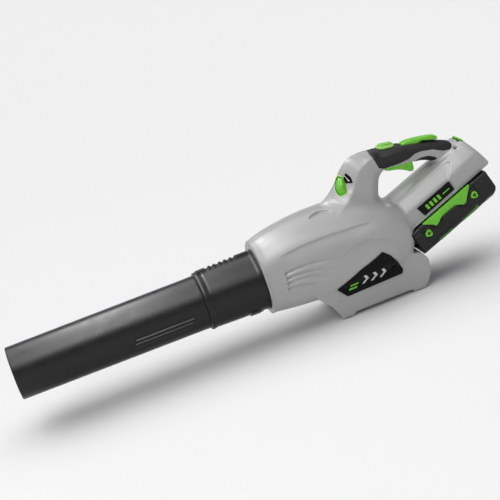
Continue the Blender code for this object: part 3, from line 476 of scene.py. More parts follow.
def body_field(g, detail=True):
    x1 = np.clip(g.x[:, 0, 0], 0, 264).astype(float)
    top, bot, hw, eu, ed = [a.astype(F32)[:, None, None] for a in stations(BODY, x1)]
    h = g.z - F32(AXIS)
    H = np.where(h > 0, top - AXIS, AXIS - bot)
    e = np.where(h > 0, eu, ed)
    ay = np.abs(g.y)
    f = (np.maximum(ay / hw, 1e-4) ** e + np.maximum(np.abs(h) / H, 1e-4) ** e) ** (1 / e)
    r = np.sqrt(ay * ay + h * h)
    d = (r - r / np.maximum(f, 0.02)).astype(F32)
    if detail:
        X, Z = on_plane(g)
        side = sstep(20, 34, ay) if g.shape[1] > 1 else 1
        cut = np.zeros(X.shape)
        for pts, depth in GROOVES:
            line = spline(pts, 4)
            dd, place = line_d(X, Z, [tuple(p) for p in line])
            n = len(line) - 1
            run = np.interp(place, [0, n * 0.02, n * 0.45, n], [0.0, 1.0, 0.9, 0.0])
            beyond = (X < line[0, 0] - 0.3) | (X > line[-1, 0])
            # steep upper wall, long lower wall
            prof = np.where(dd > 0, np.exp(-(dd / 1.5) ** 2), np.exp(-(dd / 3.3) ** 2))
            cut = np.maximum(cut, np.where(beyond, 0, depth * run * prof))
        low = spline([(12, 92), (36, 82), (60, 70.5), (80, 57), (94, 42)], 4)
        dd, place = line_d(X, Z, [tuple(p) for p in low])
        cut = cut + np.where(X < 10, 0, 1.6 * np.exp(-(dd / 5.5) ** 2) * sstep(10, 24, X))
        # bulge over the fan: the side steps in below an arc
        arc = [(112, 104), (136, 115), (153, 121.7), (164, 125), (179, 125.6), (202.6, 119.7), (220, 109.5), (232, 95.4), (241, 71.6), (243, 40), (112, 40)]
        arc = [tuple(p) for p in spline(arc[:9], 4)] + arc[9:]
        sd = poly_d(X, Z, arc)
        cut = cut + 3.6 * sstep(0.8, -2.2, sd) * sstep(118, 158, X) * (0.35 + 0.65 * sstep(-34, -3, sd))
        # shoulder crease along the side
        crease = spline([(30, 143), (53.6, 146), (73.7, 148.5), (115.6, 150.6), (149.3, 149.6), (174.2, 148.9), (200, 146)], 4)
        dd, place = line_d(X, Z, [tuple(p) for p in crease])
        fade = sstep(28, 60, X) * sstep(205, 165, X)
        cut = cut + 2.5 * fade * sstep(1.5, -1.8, dd) * sstep(-26, -2, dd)
        d = d + lift(cut) * side
        # scoop in the shoulder, deepest at its upper edge
        xs = g.x
        inner = 19.5 + 12 * ((xs - 123) / 20.5) ** 2
        t = (ay - inner) / (33.5 - inner + 1e-3)
        deep = 5.0 * np.clip(1 - ((xs - 123) / 20.5) ** 2, 0, 1) ** 0.6
        d = d + (deep * sstep(-0.06, 0.05, t) * np.clip(1 - t, 0, 1) * (np.abs(xs - 123) < 20.4) * sstep(160, 170, g.z)).astype(F32)
    return d


def body_solid(g, detail=True):
    d = body_field(g, detail)
    rim = np.sqrt((g.x - 1.9) ** 2 + (d + 0.3) ** 2) - 1.9
    d = smax(d, (g.x - 264).astype(F32), 7)
    d = smax(d, (-g.x + 0.1).astype(F32), 1.2)
    return smin(d, rim, 1.0) if detail else d


def skid_field(g, detail=True):
    d = prism(g, SKID, -54, 54, 3.5)
    if detail:                                      # the foot of the skid stands proud below a fine ledge
        X, Z = on_plane(g)
        line = 33.5 + 0.022 * (X - 124)
        d = d - lift(0.9 * sstep(0.5, -0.5, Z - line) * sstep(98, 106, X)) * sstep(30, 48, np.abs(g.y))
    return d


def handle_field(g):
    X, Z = on_plane(g)
    fine = spline(HANDLE, 6)
    ef, _ = line_d(X, Z, [tuple(p[:2]) for p in fine])
    er, _ = line_d(X, Z, [tuple(p[2:4]) for p in fine])
    ef, er = -ef, er
    mid = (fine[:, :2] + fine[:, 2:4]) / 2
    _, place = line_d(X, Z, [tuple(p) for p in mid])
    at = np.arange(len(fine))
    w, ec, y0 = [np.interp(place, at, fine[:, k]) for k in (4, 5, 6)]
    depth = np.interp(place, at, np.linalg.norm(fine[:, :2] - fine[:, 2:4], axis=1))
    rear = np.clip(depth * 0.3, 8, 15)
    ay = np.abs(g.y)
    tilt = np.interp(place, [36, 48, 66, 90], [0.0, 0.2, 0.22, 0.1])
    W, EC, Y0, EF, ER, RR, TILT = [lift(a) for a in (w, ec, y0, ef, er, rear, tilt)]
    front = ((ay - Y0) * EC - (W - Y0) * EF) / np.sqrt(EC ** 2 + (W - Y0) ** 2)
    back = ((ay - (W - 10)) * RR - 10 * ER) / np.sqrt(RR ** 2 + 100)
    d = smax(ay - W + TILT * np.clip(EF - EC, 0, 40), front, 1.8)
    d = smax(d, back, 4)
    d = smax(d, -EF + 0 * ay, 6)
    d = smax(d, -ER + 0 * ay, 5)
    cap = (X - 391) * 0.655 - (Z - 202) * 0.756
    foot = -(X - 112) * 0.2 - (Z - 142) * 0.98
    return smax(smax(d, lift(cap), 3), lift(foot), 2).astype(F32)


def dock_place(g):
    X, Z = on_plane(g)
    s = (X - 256) * CA + (Z - 98) * SA
    t = -(X - 256) * SA + (Z - 98) * CA
    s0 = s.copy()
    tab = np.array(DOCK)
    for _ in range(4):
        s0 = s + np.interp(s0, tab[:, 0], tab[:, 1]) * t
    return s, t, s0


def dock_field(g, detail=True):
    s, t, s0 = dock_place(g)
    tab = np.array(DOCK)
    fw, fh = np.interp(s0, tab[:, 0], tab[:, 2]), np.interp(s0, tab[:, 0], tab[:, 3])
    ay = np.abs(g.y) / lift(fw)
    T = lift(t / fh)
    d = None
    for (ya, ta), (yb, tb) in zip(RING[1:-1], RING[2:]):
        ln = math.hypot(yb - ya, tb - ta)
        n = ((tb - ta) / ln, -(yb - ya) / ln)
        e = (ay - ya) * n[0] + (T - ta) * n[1]
        d = e if d is None else smax(d, e, 1.5)
    d = smax(d, -T + 0 * ay, 0.8)
    # the side ahead of the rear block is let in, with a sloping edge
    panel = [(-6, 3.2), (111.5, 3.2), (108.6, 27), (116, 33), (134, 44), (128, 47.5), (-6, 47.5)]
    sd = poly_d(s0, t, panel)
    if detail:
        d = d + lift(1.7 * sstep(0.3, -1.6, sd)) * sstep(20, 34, np.abs(g.y))
    # waist above the rail flange
    d = d + float(detail) * lift(0.9 * np.exp(-((t - 4.2) / 1.1) ** 2) * sstep(-4, 4, s0) * sstep(182, 176, s0)) * sstep(30, 40, np.abs(g.y))
    d = smax(d, lift(s0 - 182), 6)
    return smax(d, lift(-36 - s0), 3).astype(F32)


def local_box(g, m, lo, hi, r=0.0):
    """A box given in another frame's millimetres."""
    inv = np.array((BODY_M.inverted() @ m).inverted())
    q = []
    for k in range(3):
        c = inv[k, 0] * g.x + inv[k, 1] * g.y + inv[k, 2] * g.z + inv[k, 3]
        q.append(np.abs(c - (lo[k] + hi[k]) / 2) - ((hi[k] - lo[k]) / 2 - r))
    out = np.sqrt(np.maximum(q[0], 0) ** 2 + np.maximum(q[1], 0) ** 2 + np.maximum(q[2], 0) ** 2)
    return (out + np.minimum(np.maximum(np.maximum(q[0], q[1]), q[2]), 0) - r).astype(F32)


def boost_seat(g):
    """The pill-shaped seat of the boost button's bezel."""
    inv = np.array((BODY_M.inverted() @ BOOST_M).inverted())
    x, y, z = [(inv[k, 0] * g.x + inv[k, 1] * g.y + inv[k, 2] * g.z + inv[k, 3]) for k in range(3)]
    q = np.maximum(np.abs(x) - 5.4, 0)
    return np.maximum(np.sqrt(q * q + y * y) - 10.75, np.abs(z) - 9.0).astype(F32)


def grip_zone(g, grow=0.0):
    X, Z = on_plane(g)
    return lift(poly_d(X, Z, GRIP_ZONE) - grow)


def outer_field(g, detail=True, hd=None):
    """The housing's closed outer form, with the battery's bay and rail channel cut out."""
    d = smin(body_solid(g, detail), skid_field(g, detail), 5)
    hd = handle_field(g) if hd is None else hd
    d = smin(d, hd, 8.5)
    d = smin(d, dock_field(g, detail), 7)
    # moulded knuckles either side, low inside the hand loop
    q = np.sqrt(((g.x - 238) / 11) ** 2 + ((np.abs(g.y) - 31) / 9) ** 2 + ((g.z - 148) / 10) ** 2)
    d = smin(d, ((q - 1) * 9).astype(F32), 2.0)
    s, t, _ = dock_place(g)
    bay = np.maximum(np.maximum(-0.4 - s, t + 0.4), -(t + 122))
    d = smax(d, lift(-bay), 1.0)
    ay = np.abs(g.y)
    neck = np.maximum(np.maximum(lift(-1.5 - s), ay - 27.6), lift(np.maximum(t - 9.0, -6 - t)))
    head = np.maximum(np.maximum(lift(-1.5 - s), ay - 33.6), lift(np.maximum(t - 14.5, 8 - t)))
    return np.maximum(d, -np.minimum(neck, head)).astype(F32), hd


def crown_d(g, grow=0.0):
    """The speed dial's crowned wheel, as a field in the body's frame."""
    q = [g.x - DIAL[0], g.y - DIAL[1], g.z - DIAL[2]]
    along = q[0] * DIAL_AXIS[0] + q[1] * DIAL_AXIS[1] + q[2] * DIAL_AXIS[2]
    rr = np.sqrt(np.maximum(q[0] ** 2 + q[1] ** 2 + q[2] ** 2 - along ** 2, 0))
    rr = rr + 5.0 * (along / 8.0) ** 2
    return smax((rr - DIAL_R - grow) * 0.85, np.abs(along) - 8.0 - grow * 0.4, 1.0).astype(F32)


H = 1.25
g = Grid((-3 * H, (-65 * H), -2 * H), (428, 79, 261), H)
outer, hd = outer_field(g)
zone = grip_zone(g)
inside = np.maximum(outer + 2.7, outer_field(g, False, hd)[0] + 4.3)
inside = np.maximum(inside, -np.maximum(zone - 3.0, -(hd + 5.4)))
scoop = np.sqrt(((g.x - 123) / 27) ** 2 + ((np.abs(g.y) - 26) / 15) ** 2 + ((g.z - 180) / 13) ** 2) - 1
inside = np.maximum(inside, -scoop * 13).astype(F32)
X2, Z2 = on_plane(g)
# let-in field for the badge on the flank
flank = lift(poly_d(X2, Z2, BADGE)) - 1.6
outer = outer + 1.0 * sstep(0.8, -0.6, flank) * sstep(30, 40, np.abs(g.y)).astype(F32)
shell = np.maximum(outer, -np.maximum(zone - 0.3, -(hd + 2.7)))
shell = np.maximum(shell, -inside)
posts = None
for x, z in BOSSES:
    c = np.maximum(lift(np.hypot(X2 - x, Z2 - z)) - 5.2, outer + 1.2)
    posts = c if posts is None else np.minimum(posts, c)
shell = smin(shell, posts, 1.5)


def carve(shell, tool, k=0.8):
    return smax(shell, -tool, k)


shell = carve(shell, cyl_d(g, (-6, 0, AXIS), (20, 0, AXIS), 52.0))
shell = carve(shell, box_d(g, (262, -41, 14), (290, 41, 41), 1))
shell = carve(shell, box_d(g, (140, -38, -4), (226, 38, 12), 1))
shell = carve(shell, box_d(g, *TRIGGER_SLOT, 1))
shell = carve(shell, box_d(g, *LEVER_SLOT, 1))
shell = carve(shell, boost_seat(g), 0.4)
shell = carve(shell, crown_d(g, 0.8))
shell = carve(shell, local_box(g, SLOPE_M, (-12, -16.5, -12), (12, 16.5, 14), 2))
shell = carve(shell, local_box(g, DOCK_M, (151.7, -7.6, 12), (160.3, 7.6, 20)), 0.3)
for y in (-15, -5, 5, 15):
    shell = carve(shell, local_box(g, DOCK_M, (7, y - 0.9, 12), (27, y + 0.9, 20)), 0.3)
shell = carve(shell, box_d(g, (100, -36.5, -4), (131, 36.5, 5.5), 1))
shell = carve(shell, box_d(g, (233, -36.5, -4), (262, 36.5, 5.5), 1))
for x0, x1 in ((110.2, 123.8), (241.2, 254.8)):
    for side in (-1, 1):
        y0, y1 = sorted((side * 38.7, side * 51.8))
        shell = carve(shell, box_d(g, (x0, y0, -3), (x1, y1, 3.4)), 0.3)
for x, z in BOSSES:
    shell = carve(shell, cyl_d(g, (x, 7, z), (x, 95, z), 3.4))
    shell = carve(shell, cyl_d(g, (x, -9, z), (x, 8, z), 1.7), 0.2)
for (x, z), y in (((302, 231.5), 11.0), ((262, 213), 13.9)):
    shell = carve(shell, cyl_d(g, (x, -y, z), (x, y, z), 1.8), 0.2)
# blind moulded recess on the left of the hump
shell = carve(shell, cyl_d(g, (381, -60, 204), (380, -19.5, 203), 2.9), 1.4)
for hand, keep in (("left", g.y + 0.15), ("right", 0.15 - g.y)):
    half = np.maximum(shell, keep.astype(F32))
    moulded("housing_%s_shell" % hand, g, half, SHELL, "housing", ("housing_" + hand,), least=400)


# ------------------------------------------------------------------ helpers for the smaller pieces
def inset(pts, d):
    """Moves each side of an outline inwards by d."""
    n = len(pts)
    sign = 1 if sum(pts[i - 1][0] * p[1] - p[0] * pts[i - 1][1] for i, p in enumerate(pts)) > 0 else -1
    lines = []
    for i in range(n):
        a, b = np.array(pts[i], float), np.array(pts[(i + 1) % n], float)
        t = (b - a) / np.linalg.norm(b - a)
        lines.append((a + np.array((-t[1], t[0])) * sign * d, t))
    out = []
    for i in range(n):
        (p, r), (q, s) = lines[i - 1], lines[i]
        k = ((q - p)[0] * s[1] - (q - p)[1] * s[0]) / (r[0] * s[1] - r[1] * s[0])
        out.append(tuple(p + r * k))
    return out


def round_poly(g, pts, r):
    X, Z = on_plane(g)
    return lift(poly_d(X, Z, inset(pts, r)) - r)


def mirrored(o, name, body, nodes=(), mat=None):
    """The same mesh on the other side of the middle plane."""
    me = o.data.copy()
    me.name = name
    me.transform(Matrix.Scale(-1, 4, (0, 1, 0)))
    me.flip_normals()
    c = bpy.data.objects.new(name, me)
    bpy.context.scene.collection.objects.link(c)
    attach(c, body)
    if nodes:
        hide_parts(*nodes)
    return c


def relative(m):
    """A frame's matrix seen from a grid that is itself laid out in that frame."""
    return m


def local_grid(lo, hi, h):
    return Grid(lo, hi, h * (1.0))


# ------------------------------------------------------------------ grip skin and the pad under its rear
gg = local_grid((234, -23.2, 198), (384, 23.2, 252), 0.8)
ghd = handle_field(gg)
d = smax(ghd, grip_zone(gg), 1.4)
d = np.maximum(d, -(ghd + 2.4))
d = smax(d, -box_d(gg, *TRIGGER_SLOT), 0.8)
d = smax(d, -box_d(gg, *LEVER_SLOT), 1.2)
d = smax(d, -boost_seat(gg), 0.3)
moulded("grip_overmould", gg, d, GRIP, "housing", ("grip_skin",), least=300)
gg = local_grid((308, -21.5, 174), (366, 21.5, 208), 0.8)
ghd = handle_field(gg)
X, Z = on_plane(gg)
under = lift(np.maximum(poly_d(X, Z, [(314, 203.4), (322, 205.2), (334, 204.2), (345, 198.0), (356, 187), (350, 178), (310, 188), (311, 200)]), -1e3))
d = smax(np.abs(ghd + 0.6) - 1.2, under, 1.2)
d = smax(d, np.abs(gg.y) - 19.8 + 0 * d, 1.0)
moulded("grip_under_pad", gg, d, GRIP, "housing", least=200)

# ------------------------------------------------------------------ outlet tube
def turned(profile, n, bulge=None):
    """Vertices and quads of a closed profile of (x, radius) turned about the air path, with an optional radial change."""
    p = np.array(profile, float)
    a = np.linspace(0, math.tau, n, endpoint=False)
    px, pr = np.repeat(p[:, 0], n), np.repeat(p[:, 1], n)
    aa = np.tile(a, len(p))
    if bulge is not None:
        pr = pr + bulge(px, aa, pr)
    v = np.stack([px, pr * np.sin(aa), AXIS + pr * np.cos(aa)], 1)
    m = len(p)
    i, j = np.meshgrid(np.arange(m), np.arange(n), indexing="ij")
    i2, j2 = (i + 1) % m, (j + 1) % n
    q = np.stack([i * n + j, i * n + j2, i2 * n + j2, i2 * n + j], -1).reshape(-1, 4)
    return v, q


def tube_bulge(x, a, r):
    """A shallow let-in panel with three long ribs, on both flanks."""
    down = np.degrees(np.where(a > math.pi, math.tau - a, a)) - 90.0      # degrees below the horizontal on either flank
    arc = down * 0.79
    u = (x + 182.0) + (arc - 14.0) * 0.55
    dd = np.maximum(np.abs(u) - 54.0, np.abs(arc - 14.0) - 12.5)
    let_in = 1.1 * sstep(0.5, -0.9, dd)
    rib = np.zeros(x.shape)
    for k in range(3):
        rib = np.maximum(rib, sstep(1.9, 1.1, np.abs(arc - (7.4 + 6.6 * k))) * sstep(-2.5, -4.0, dd + 0.5))
    return np.where(r > 43.9, -let_in + 1.9 * rib, 0)


xs = np.concatenate([np.linspace(-426.5, -250, 90), np.linspace(-249, -112, 220)])
outer_r = np.interp(xs, [-426.5, -110], [44.6, 45.7])
prof = [(-428.0, 42.2), (-428.0, 43.9), (-427.6, 44.35)] + list(zip(xs, outer_r)) + [(-108, 45.75), (-101.0, 45.8), (-99.5, 45.4), (-99.5, 43.3)]
inner = [(x, float(np.interp(x, [-428, -42], [41.9, 43.3]))) for x in np.linspace(-101, -427.6, 60)]
v, q = turned(prof + inner, 300, tube_bulge)
barrel = make("tube_barrel", v, q[:, ::-1], TUBE, sharp=50)
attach(barrel, "tube")

gg = local_grid((-106, -60, 41), (18, 60, 161), 1.0)
rad = np.sqrt(gg.y ** 2 + (gg.z - AXIS) ** 2)
R = np.interp(gg.x[:, 0, 0], [-104.6, -102.6, -97, -95.5, -93, -60, -8, -4, 14, 16], [46.0, 49.7, 49.9, 49.0, 48.8, 49.6, 50.4, 51.0, 51.0, 50.4])[:, None, None].astype(F32)
ang = np.arctan2(np.abs(gg.y), gg.z - AXIS)                                  # 0 at the top
d = rad - R
d = d + 0.5 * np.exp(-((gg.x + 91.5) / 0.8) ** 2)
# top rail with its notches
rail = np.maximum(np.abs(gg.y) - 4.3, -(gg.z - 147))
crest = np.interp(gg.x[:, 0, 0], [-104, -98.5, -60, -6, -4.5], [146, 153.6, 154.4, 155.4, 146])[:, None, None].astype(F32)
notch = 2.4 * (np.cos((gg.x + 60) * math.tau / 9.5) > 0.1) * (np.abs(gg.x + 55) < 31)
rail = smax(rail, gg.z - crest + notch, 0.8)
rail = np.maximum(rail, np.abs(gg.x + 53.5) - 48)
d = smin(d, rail, 1.6)
# a moulded lug and two marks by the joint, low on the left flank
below = np.degrees(np.arctan2(AXIS - gg.z, np.maximum(-gg.y, 0.01)))
lug = np.maximum(np.abs(gg.x + 27) - 8.5, (np.abs(below - 62) - 15) * 0.85)
lug = np.maximum(smax(lug, rad - R - 2.6, 0.8), -(rad - R + 2))
d = smin(d, np.where(gg.y < 0, lug, 50).astype(F32), 0.8)
X, Z = on_plane(gg)
arrow = np.minimum(poly_d(X, Z, [(-22, 92), (-16, 88), (-22, 84)]), poly_d(X, Z, [(-20, 80), (-12, 80), (-12, 76.5), (-20, 76.5)]))
d = np.where(gg.y < -20, d - lift(0.7 * sstep(0.5, -0.5, arrow)), d)
d = smax(d, (-gg.x - 104.4).astype(F32) + 0 * d, 1.2)
d = smax(d, (gg.x - 16).astype(F32) + 0 * d, 1.0)
bore = np.interp(gg.x[:, 0, 0], [-106, -99.6, -99.4, -42, -40, 18], [46.1, 46.1, 43.2, 43.3, 46.8, 46.8])[:, None, None].astype(F32)
d = np.maximum(d, -(rad - bore))
d = smax(d, -box_d(gg, (-26, -5, 40), (-8, 5, 60)), 0.5)
moulded("tube_collar", gg, d, TUBE, "tube", ("outlet_tube",), least=300)

gg = local_grid((-27, -6, 45), (-7, 6, 57), 0.5)
d = prism(gg, [(-25.7, 56.0), (-25.7, 48.4), (-23, 47.2), (-12, 46.6), (-8.3, 48.4), (-8.3, 56.0)], -4.7, 4.7, 0.9)
d = d + 0.45 * (np.cos((gg.x + 17) * math.tau / 2.6) > 0) * sstep(50, 49, gg.z)
moulded("tube_lock_button", gg, d, TUBE, "tube_lock", ("tube_lock",))

# ------------------------------------------------------------------ trigger, lever, button, dial
TRIGGER = [(257.3, 213), (258.4, 216.6), (262, 218), (266, 217.2), (272, 213.8), (285, 210.4), (300, 206.6), (306.4, 205), (307.4, 198),
           (307, 190), (304.4, 186.2), (299, 186.8), (288, 193.5), (275, 198.2), (266, 199.8), (258, 203), (256.6, 208)]
LEVER = [(296.4, 232.5), (297, 236), (301, 238.3), (308, 238.9), (324, 237.7), (345, 234.3), (357, 231.0), (359.6, 229.2), (360, 226),
         (358.6, 223.2), (345, 227.0), (333, 230.4), (324, 228.2), (310, 227.4), (302, 226.4), (297.6, 228.6)]
gg = local_grid((255, -9, 184), (309, 9, 220), 0.6)
d = prism(gg, [tuple(p) for p in spline(TRIGGER + TRIGGER[:1], 4)[:-1]], -8.0, 8.0, 2.2)
X, Z = on_plane(gg)
face, run = line_d(X, Z, [(258, 203), (266, 199.8), (275, 198.2), (288, 193.5), (299, 186.8)])
d = d + lift(0.5 * np.exp(-(face / 3.0) ** 2) * (np.cos(X * math.tau / 5.0) > 0.55)) * sstep(6.5, 5.5, np.abs(gg.y))
d = smax(d, -cyl_d(gg, (262, -12, 213), (262, 12, 213), 1.8), 0.3)
moulded("trigger_blade", gg, d, GREEN, "trigger", ("trigger",))
gg = local_grid((294, -10.4, 221), (362, 10.4, 241), 0.6)
d = prism(gg, LEVER, -9.2, 9.2, 2.0)
d = smax(d, (np.abs(gg.y) - 9.2 + 0.42 * np.maximum(gg.z - np.interp(gg.x[:, 0, 0], [296, 308, 345, 360], [234.5, 236.2, 231.6, 226.5])[:, None, None], 0) * 2.2).astype(F32) + 0 * d, 1.4)
d = d + 0.55 * (np.cos(gg.x * math.tau / 3.4) > 0.5) * sstep(340, 342, gg.x) * sstep(357, 355, gg.x) * sstep(228, 230, gg.z) * sstep(6.0, 5.0, np.abs(gg.y))
d = smax(d, -cyl_d(gg, (302, -12, 231.5), (302, 12, 231.5), 1.8), 0.3)
moulded("cruise_lever_blade", gg, d, GREEN, "cruise_lever", ("cruise_lever",))


def pill_d(g, half, rad, z0, z1, r):
    q = np.maximum(np.abs(g.x) - (half - rad), 0)
    d2 = np.sqrt(q * q + g.y * g.y) - rad + r + 0 * g.z
    qz = np.abs(g.z - (z0 + z1) / 2) - ((z1 - z0) / 2 - r)
    return np.sqrt(np.maximum(d2, 0) ** 2 + np.maximum(qz, 0) ** 2) + np.minimum(np.maximum(d2, qz), 0) - r


gg = local_grid((-18, -13, -4), (18, 13, 3), 0.45)
d = smax(pill_d(gg, 16.4, 11.0, -2.6, 1.9, 1.3), -pill_d(gg, 12.95, 7.45, -8, 8, 0.2), 0.5)
moulded("boost_bezel_ring", gg, d, GREEN_LIGHT, "housing", ("boost_bezel",), to_world=BOOST_M)
gg = local_grid((-14, -8.5, -9), (14, 8.5, 5.5), 0.45)
d = pill_d(gg, 12.6, 7.1, -8.0, 4.4, 1.7)
d = smax(d, -(np.sqrt((gg.x * 0.55) ** 2 + gg.y ** 2 + (gg.z - 24.2) ** 2) - 20.3), 0.8)
moulded("boost_button_cap", gg, d, GREEN, "boost_button", ("boost_button",), to_world=BOOST_M)

zax = Vector(DIAL_AXIS)
xax = Vector((0, 0, 1)).cross(zax).normalized()
yax = zax.cross(xax)
DIAL_M = BODY_M @ Matrix.Translation(Vector(DIAL)) @ Matrix((xax, yax, zax)).transposed().to_4x4()
gg = local_grid((-24, -24, -9), (24, 24, 9), 0.7)
rr, th = np.sqrt(gg.x ** 2 + gg.y ** 2), np.arctan2(gg.y, gg.x)
groove = 0.8 * np.exp(-((np.abs(gg.z) - 4.3) / 0.6) ** 2)
knurl = 0.6 * sstep(0.2, 0.8, np.cos(th * 34)) * sstep(3.8, 3.0, np.abs(gg.z))
d = smax((rr + 5.0 * (gg.z / 8.0) ** 2 - DIAL_R + 0.5) * 0.85, np.abs(gg.z) - 8.0 + 0 * rr, 1.0) + groove + knurl
d = np.maximum(d, -(rr - 2.3))
moulded("speed_dial_wheel", gg, d.astype(F32), GREEN, "speed_dial", ("speed_dial",), to_world=DIAL_M)

# ring round the dial's slot, following the pillar
gg = local_grid((150, -40, 168), (205, 14, 236), 0.8)
gh = handle_field(gg)
od = smin(smin(body_solid(gg, False), skid_field(gg), 5), gh, 9)
ring = np.maximum(crown_d(gg, 2.6), -crown_d(gg, 0.85))
d = smax(ring, np.abs(od + 0.4) - 1.3, 0.8)
near = ((gg.x - DIAL[0]) * 0.73 + (gg.y - DIAL[1]) * 0.66).astype(F32) + 0 * d
d = np.maximum(d, near + 4)
moulded("dial_bezel", gg, d, GREEN_LIGHT, "housing", least=200)

# ------------------------------------------------------------------ battery release
gg = local_grid((-13, -18, -15), (13, 18, 2.5), 0.5)
d = box_d(gg, (-11.7, -16.2, -3.0), (11.7, 16.2, 0.6), 1.4)
d = d + 0.4 * (np.cos(gg.x * math.tau / 3.6) > 0.4) * sstep(-0.8, 0.0, gg.z) * sstep(13, 12, np.abs(gg.y)) * (np.abs(gg.x) < 8)
d = smin(d, box_d(gg, (-3.1, -3.3, -13.5), (3.1, 3.3, -2.0), 0.4), 0.6)
moulded("release_button", gg, d, GREEN, "battery_release", ("battery_release",), to_world=SLOPE_M)

# ------------------------------------------------------------------ battery
gg = local_grid((-2, -58, -50), (166, 58, -7), 1.0)
ay = np.abs(gg.y)
d = box_d(gg, (0, -53.5, -48), (164, 53.5, -6), 4.0)
ends = smin(box_d(gg, (0.2, -55.6, -46.5), (19, 55.6, -6), 3.0), box_d(gg, (133, -55.6, -46.5), (163.8, 55.6, -6), 3.0), 0.5)
d = smin(d, ends, 1.5)
# chamfered lower edge, corner creases and end ribs
d = smax(d, ((ay - 55.6) * 0.62 + (-gg.z - 40.5) * 0.78).astype(F32) + 0 * d, 2.0)
d = smax(d, ((gg.x - 163.8) * 0.8 + (-gg.z - 34) * 0.6).astype(F32) + 0 * d, 2.0)
d = d + 0.9 * np.exp(-((gg.x - 148) / 1.1) ** 2) * sstep(50, 54, ay) * sstep(-14, -18, gg.z)
d = d + 0.8 * (np.cos((gg.y) * math.tau / 9.0) > 0.75) * sstep(2.5, 1.2, gg.x) * (ay < 40) * (gg.z > -40) * (gg.z < -16)
d = d + 0.8 * (np.cos((gg.y) * math.tau / 9.0) > 0.75) * sstep(161, 162.4, gg.x) * (ay < 40) * (gg.z > -34) * (gg.z < -16)
d = d + 0.7 * (np.cos(gg.x * math.tau / 12.0) > 0.86) * sstep(-46, -47, gg.z) * (ay < 42) * (np.abs(gg.x - 82) < 62)
d = smax(d, (gg.z + 9.3).astype(F32) + 0 * d, 0.7)
room = box_d(gg, (2.6, -50.9, -45.2), (161.4, 50.9, 2))
room = np.maximum(room, ((ay - 55.6) * 0.62 + (-gg.z - 40.5) * 0.78 + 2.0).astype(F32) + 0 * room)
room = np.maximum(room, ((gg.x - 163.8) * 0.8 + (-gg.z - 34) * 0.6 + 2.0).astype(F32) + 0 * room)
d = np.maximum(d, -room)
moulded("battery_case", gg, d, BLACK, "battery", ("battery_tray",), to_world=DOCK_M, least=400)
gg = local_grid((-2, -58, -12), (166, 58, 15.5), 1.0)
ay = np.abs(gg.y)
d = box_d(gg, (0, -53.5, -16), (164, 53.5, -0.7), 2.0)
d = smin(d, smin(box_d(gg, (0.2, -55.6, -16), (19, 55.6, -1.2), 2.0), box_d(gg, (133, -55.6, -16), (163.8, 55.6, -1.2), 2.0), 0.4), 1.0)
d = smax(d, -(gg.z + 9.0).astype(F32) + 0 * d, 0.7)
rail = smin(box_d(gg, (0.0, -27.3, -3), (158, 27.3, 10.5), 0.8), box_d(gg, (0.0, -33.3, 8.3), (158, 33.3, 14.2), 0.9), 0.5)
d = smin(d, rail, 1.0)
d = np.maximum(d, -box_d(gg, (2.6, -50.9, -12), (161.4, 50.9, -3.3)))
d = np.maximum(d, -box_d(gg, (30, -24, -6), (155, 24, 11.5)))
for y in (-15, -5, 5, 15):
    d = smax(d, -box_d(gg, (-3, y - 0.9, 9.0), (27.5, y + 0.9, 16)), 0.3)
moulded("battery_lid", gg, d, BLACK, "battery", ("battery_top",), to_world=DOCK_M, least=400)

UPPER = [(26.7, -1.0), (127.9, -1.0), (125.0, -4.0), (107.7, -20.6), (101, -21.7), (98.4, -18.4), (88.6, -12.8), (60.9, -12.0),
         (55, -14.3), (50.5, -16.4), (43.3, -18.1), (39.8, -12), (31.2, -4.9)]
LOWER = [[(86, -37), (117, -35), (121, -40), (116, -44), (84, -43.6)], [(34, -40), (40, -38), (63, -40), (66, -43.8), (36, -44)]]
GUARD = [(15, -16), (17, -28), (25, -36), (40, -40), (106, -40), (122, -35), (132, -27), (135, -17), (130, -10.5), (121, -11),
         (109, -20.5), (99, -21.8), (94, -17), (89, -12.6), (61, -12.4), (54, -16.5), (44, -19), (35, -12.5), (24, -10)]
BAR = [(62, -11.6), (89, -12.2), (94.5, -20.7), (87.5, -27.5), (53.0, -21.0), (57, -14)]
BOLTS = (25.5, -19), (125, -20)
gg = local_grid((12, -58.5, -50), (138, -47.5, 0.6), 0.6)
X, Z = on_plane(gg)
up = poly_d(X, Z, UPPER)
shape = up
face = 54.9 + 0.5 * sstep(-0.8, -2.0, up)
d = smax(lift(shape), (-gg.y).astype(F32) - lift(face), 0.7)
# the panel's upper edge folds over the case's shoulder
fold = np.maximum(poly_d(X, Z, [(26.5, -0.35), (128.5, -0.35), (127, -1.9), (28, -1.9)]), -1e3)
d = smin(d, smax(lift(fold), np.abs(gg.y + 51.6) - 3.2, 0.3), 0.3)
for s, t in BOLTS:
    rr = np.hypot(X - s, Z - t)
    tri = rr * (1 + 0.10 * np.cos(3 * np.arctan2(Z - t, X - s)))
    d = smin(d, smax(lift(tri - 6.2), (-gg.y - 57.2).astype(F32) + 0 * d, 1.2), 0.5)
    d = smax(d, -np.maximum(lift(rr - 2.9), (gg.y + 55.2).astype(F32) + 0 * d), 0.6)
low = (gg.z < -2.2)
d = np.where(low, np.maximum(d, (gg.y + 53.3).astype(F32) + 0 * d), d)
panel = moulded("battery_side_panel_left", gg, d, GREEN, "battery", ("battery_panel_left",), to_world=DOCK_M, least=80)
mirrored(panel, "battery_side_panel_right", "battery", ("battery_panel_right",))
# low panels in the accent green darkened as painted shade
shape = np.minimum(poly_d(X, Z, LOWER[0]), poly_d(X, Z, LOWER[1]))
d = np.maximum(smax(lift(shape), (-gg.y).astype(F32) - 55.1 + 0 * lift(shape), 0.7), (gg.y + 53.4).astype(F32))
low = moulded("battery_low_panel_left", gg, d, GREEN_PAINTED_SHADE, "battery", to_world=DOCK_M, least=60)
mirrored(low, "battery_low_panel_right", "battery")
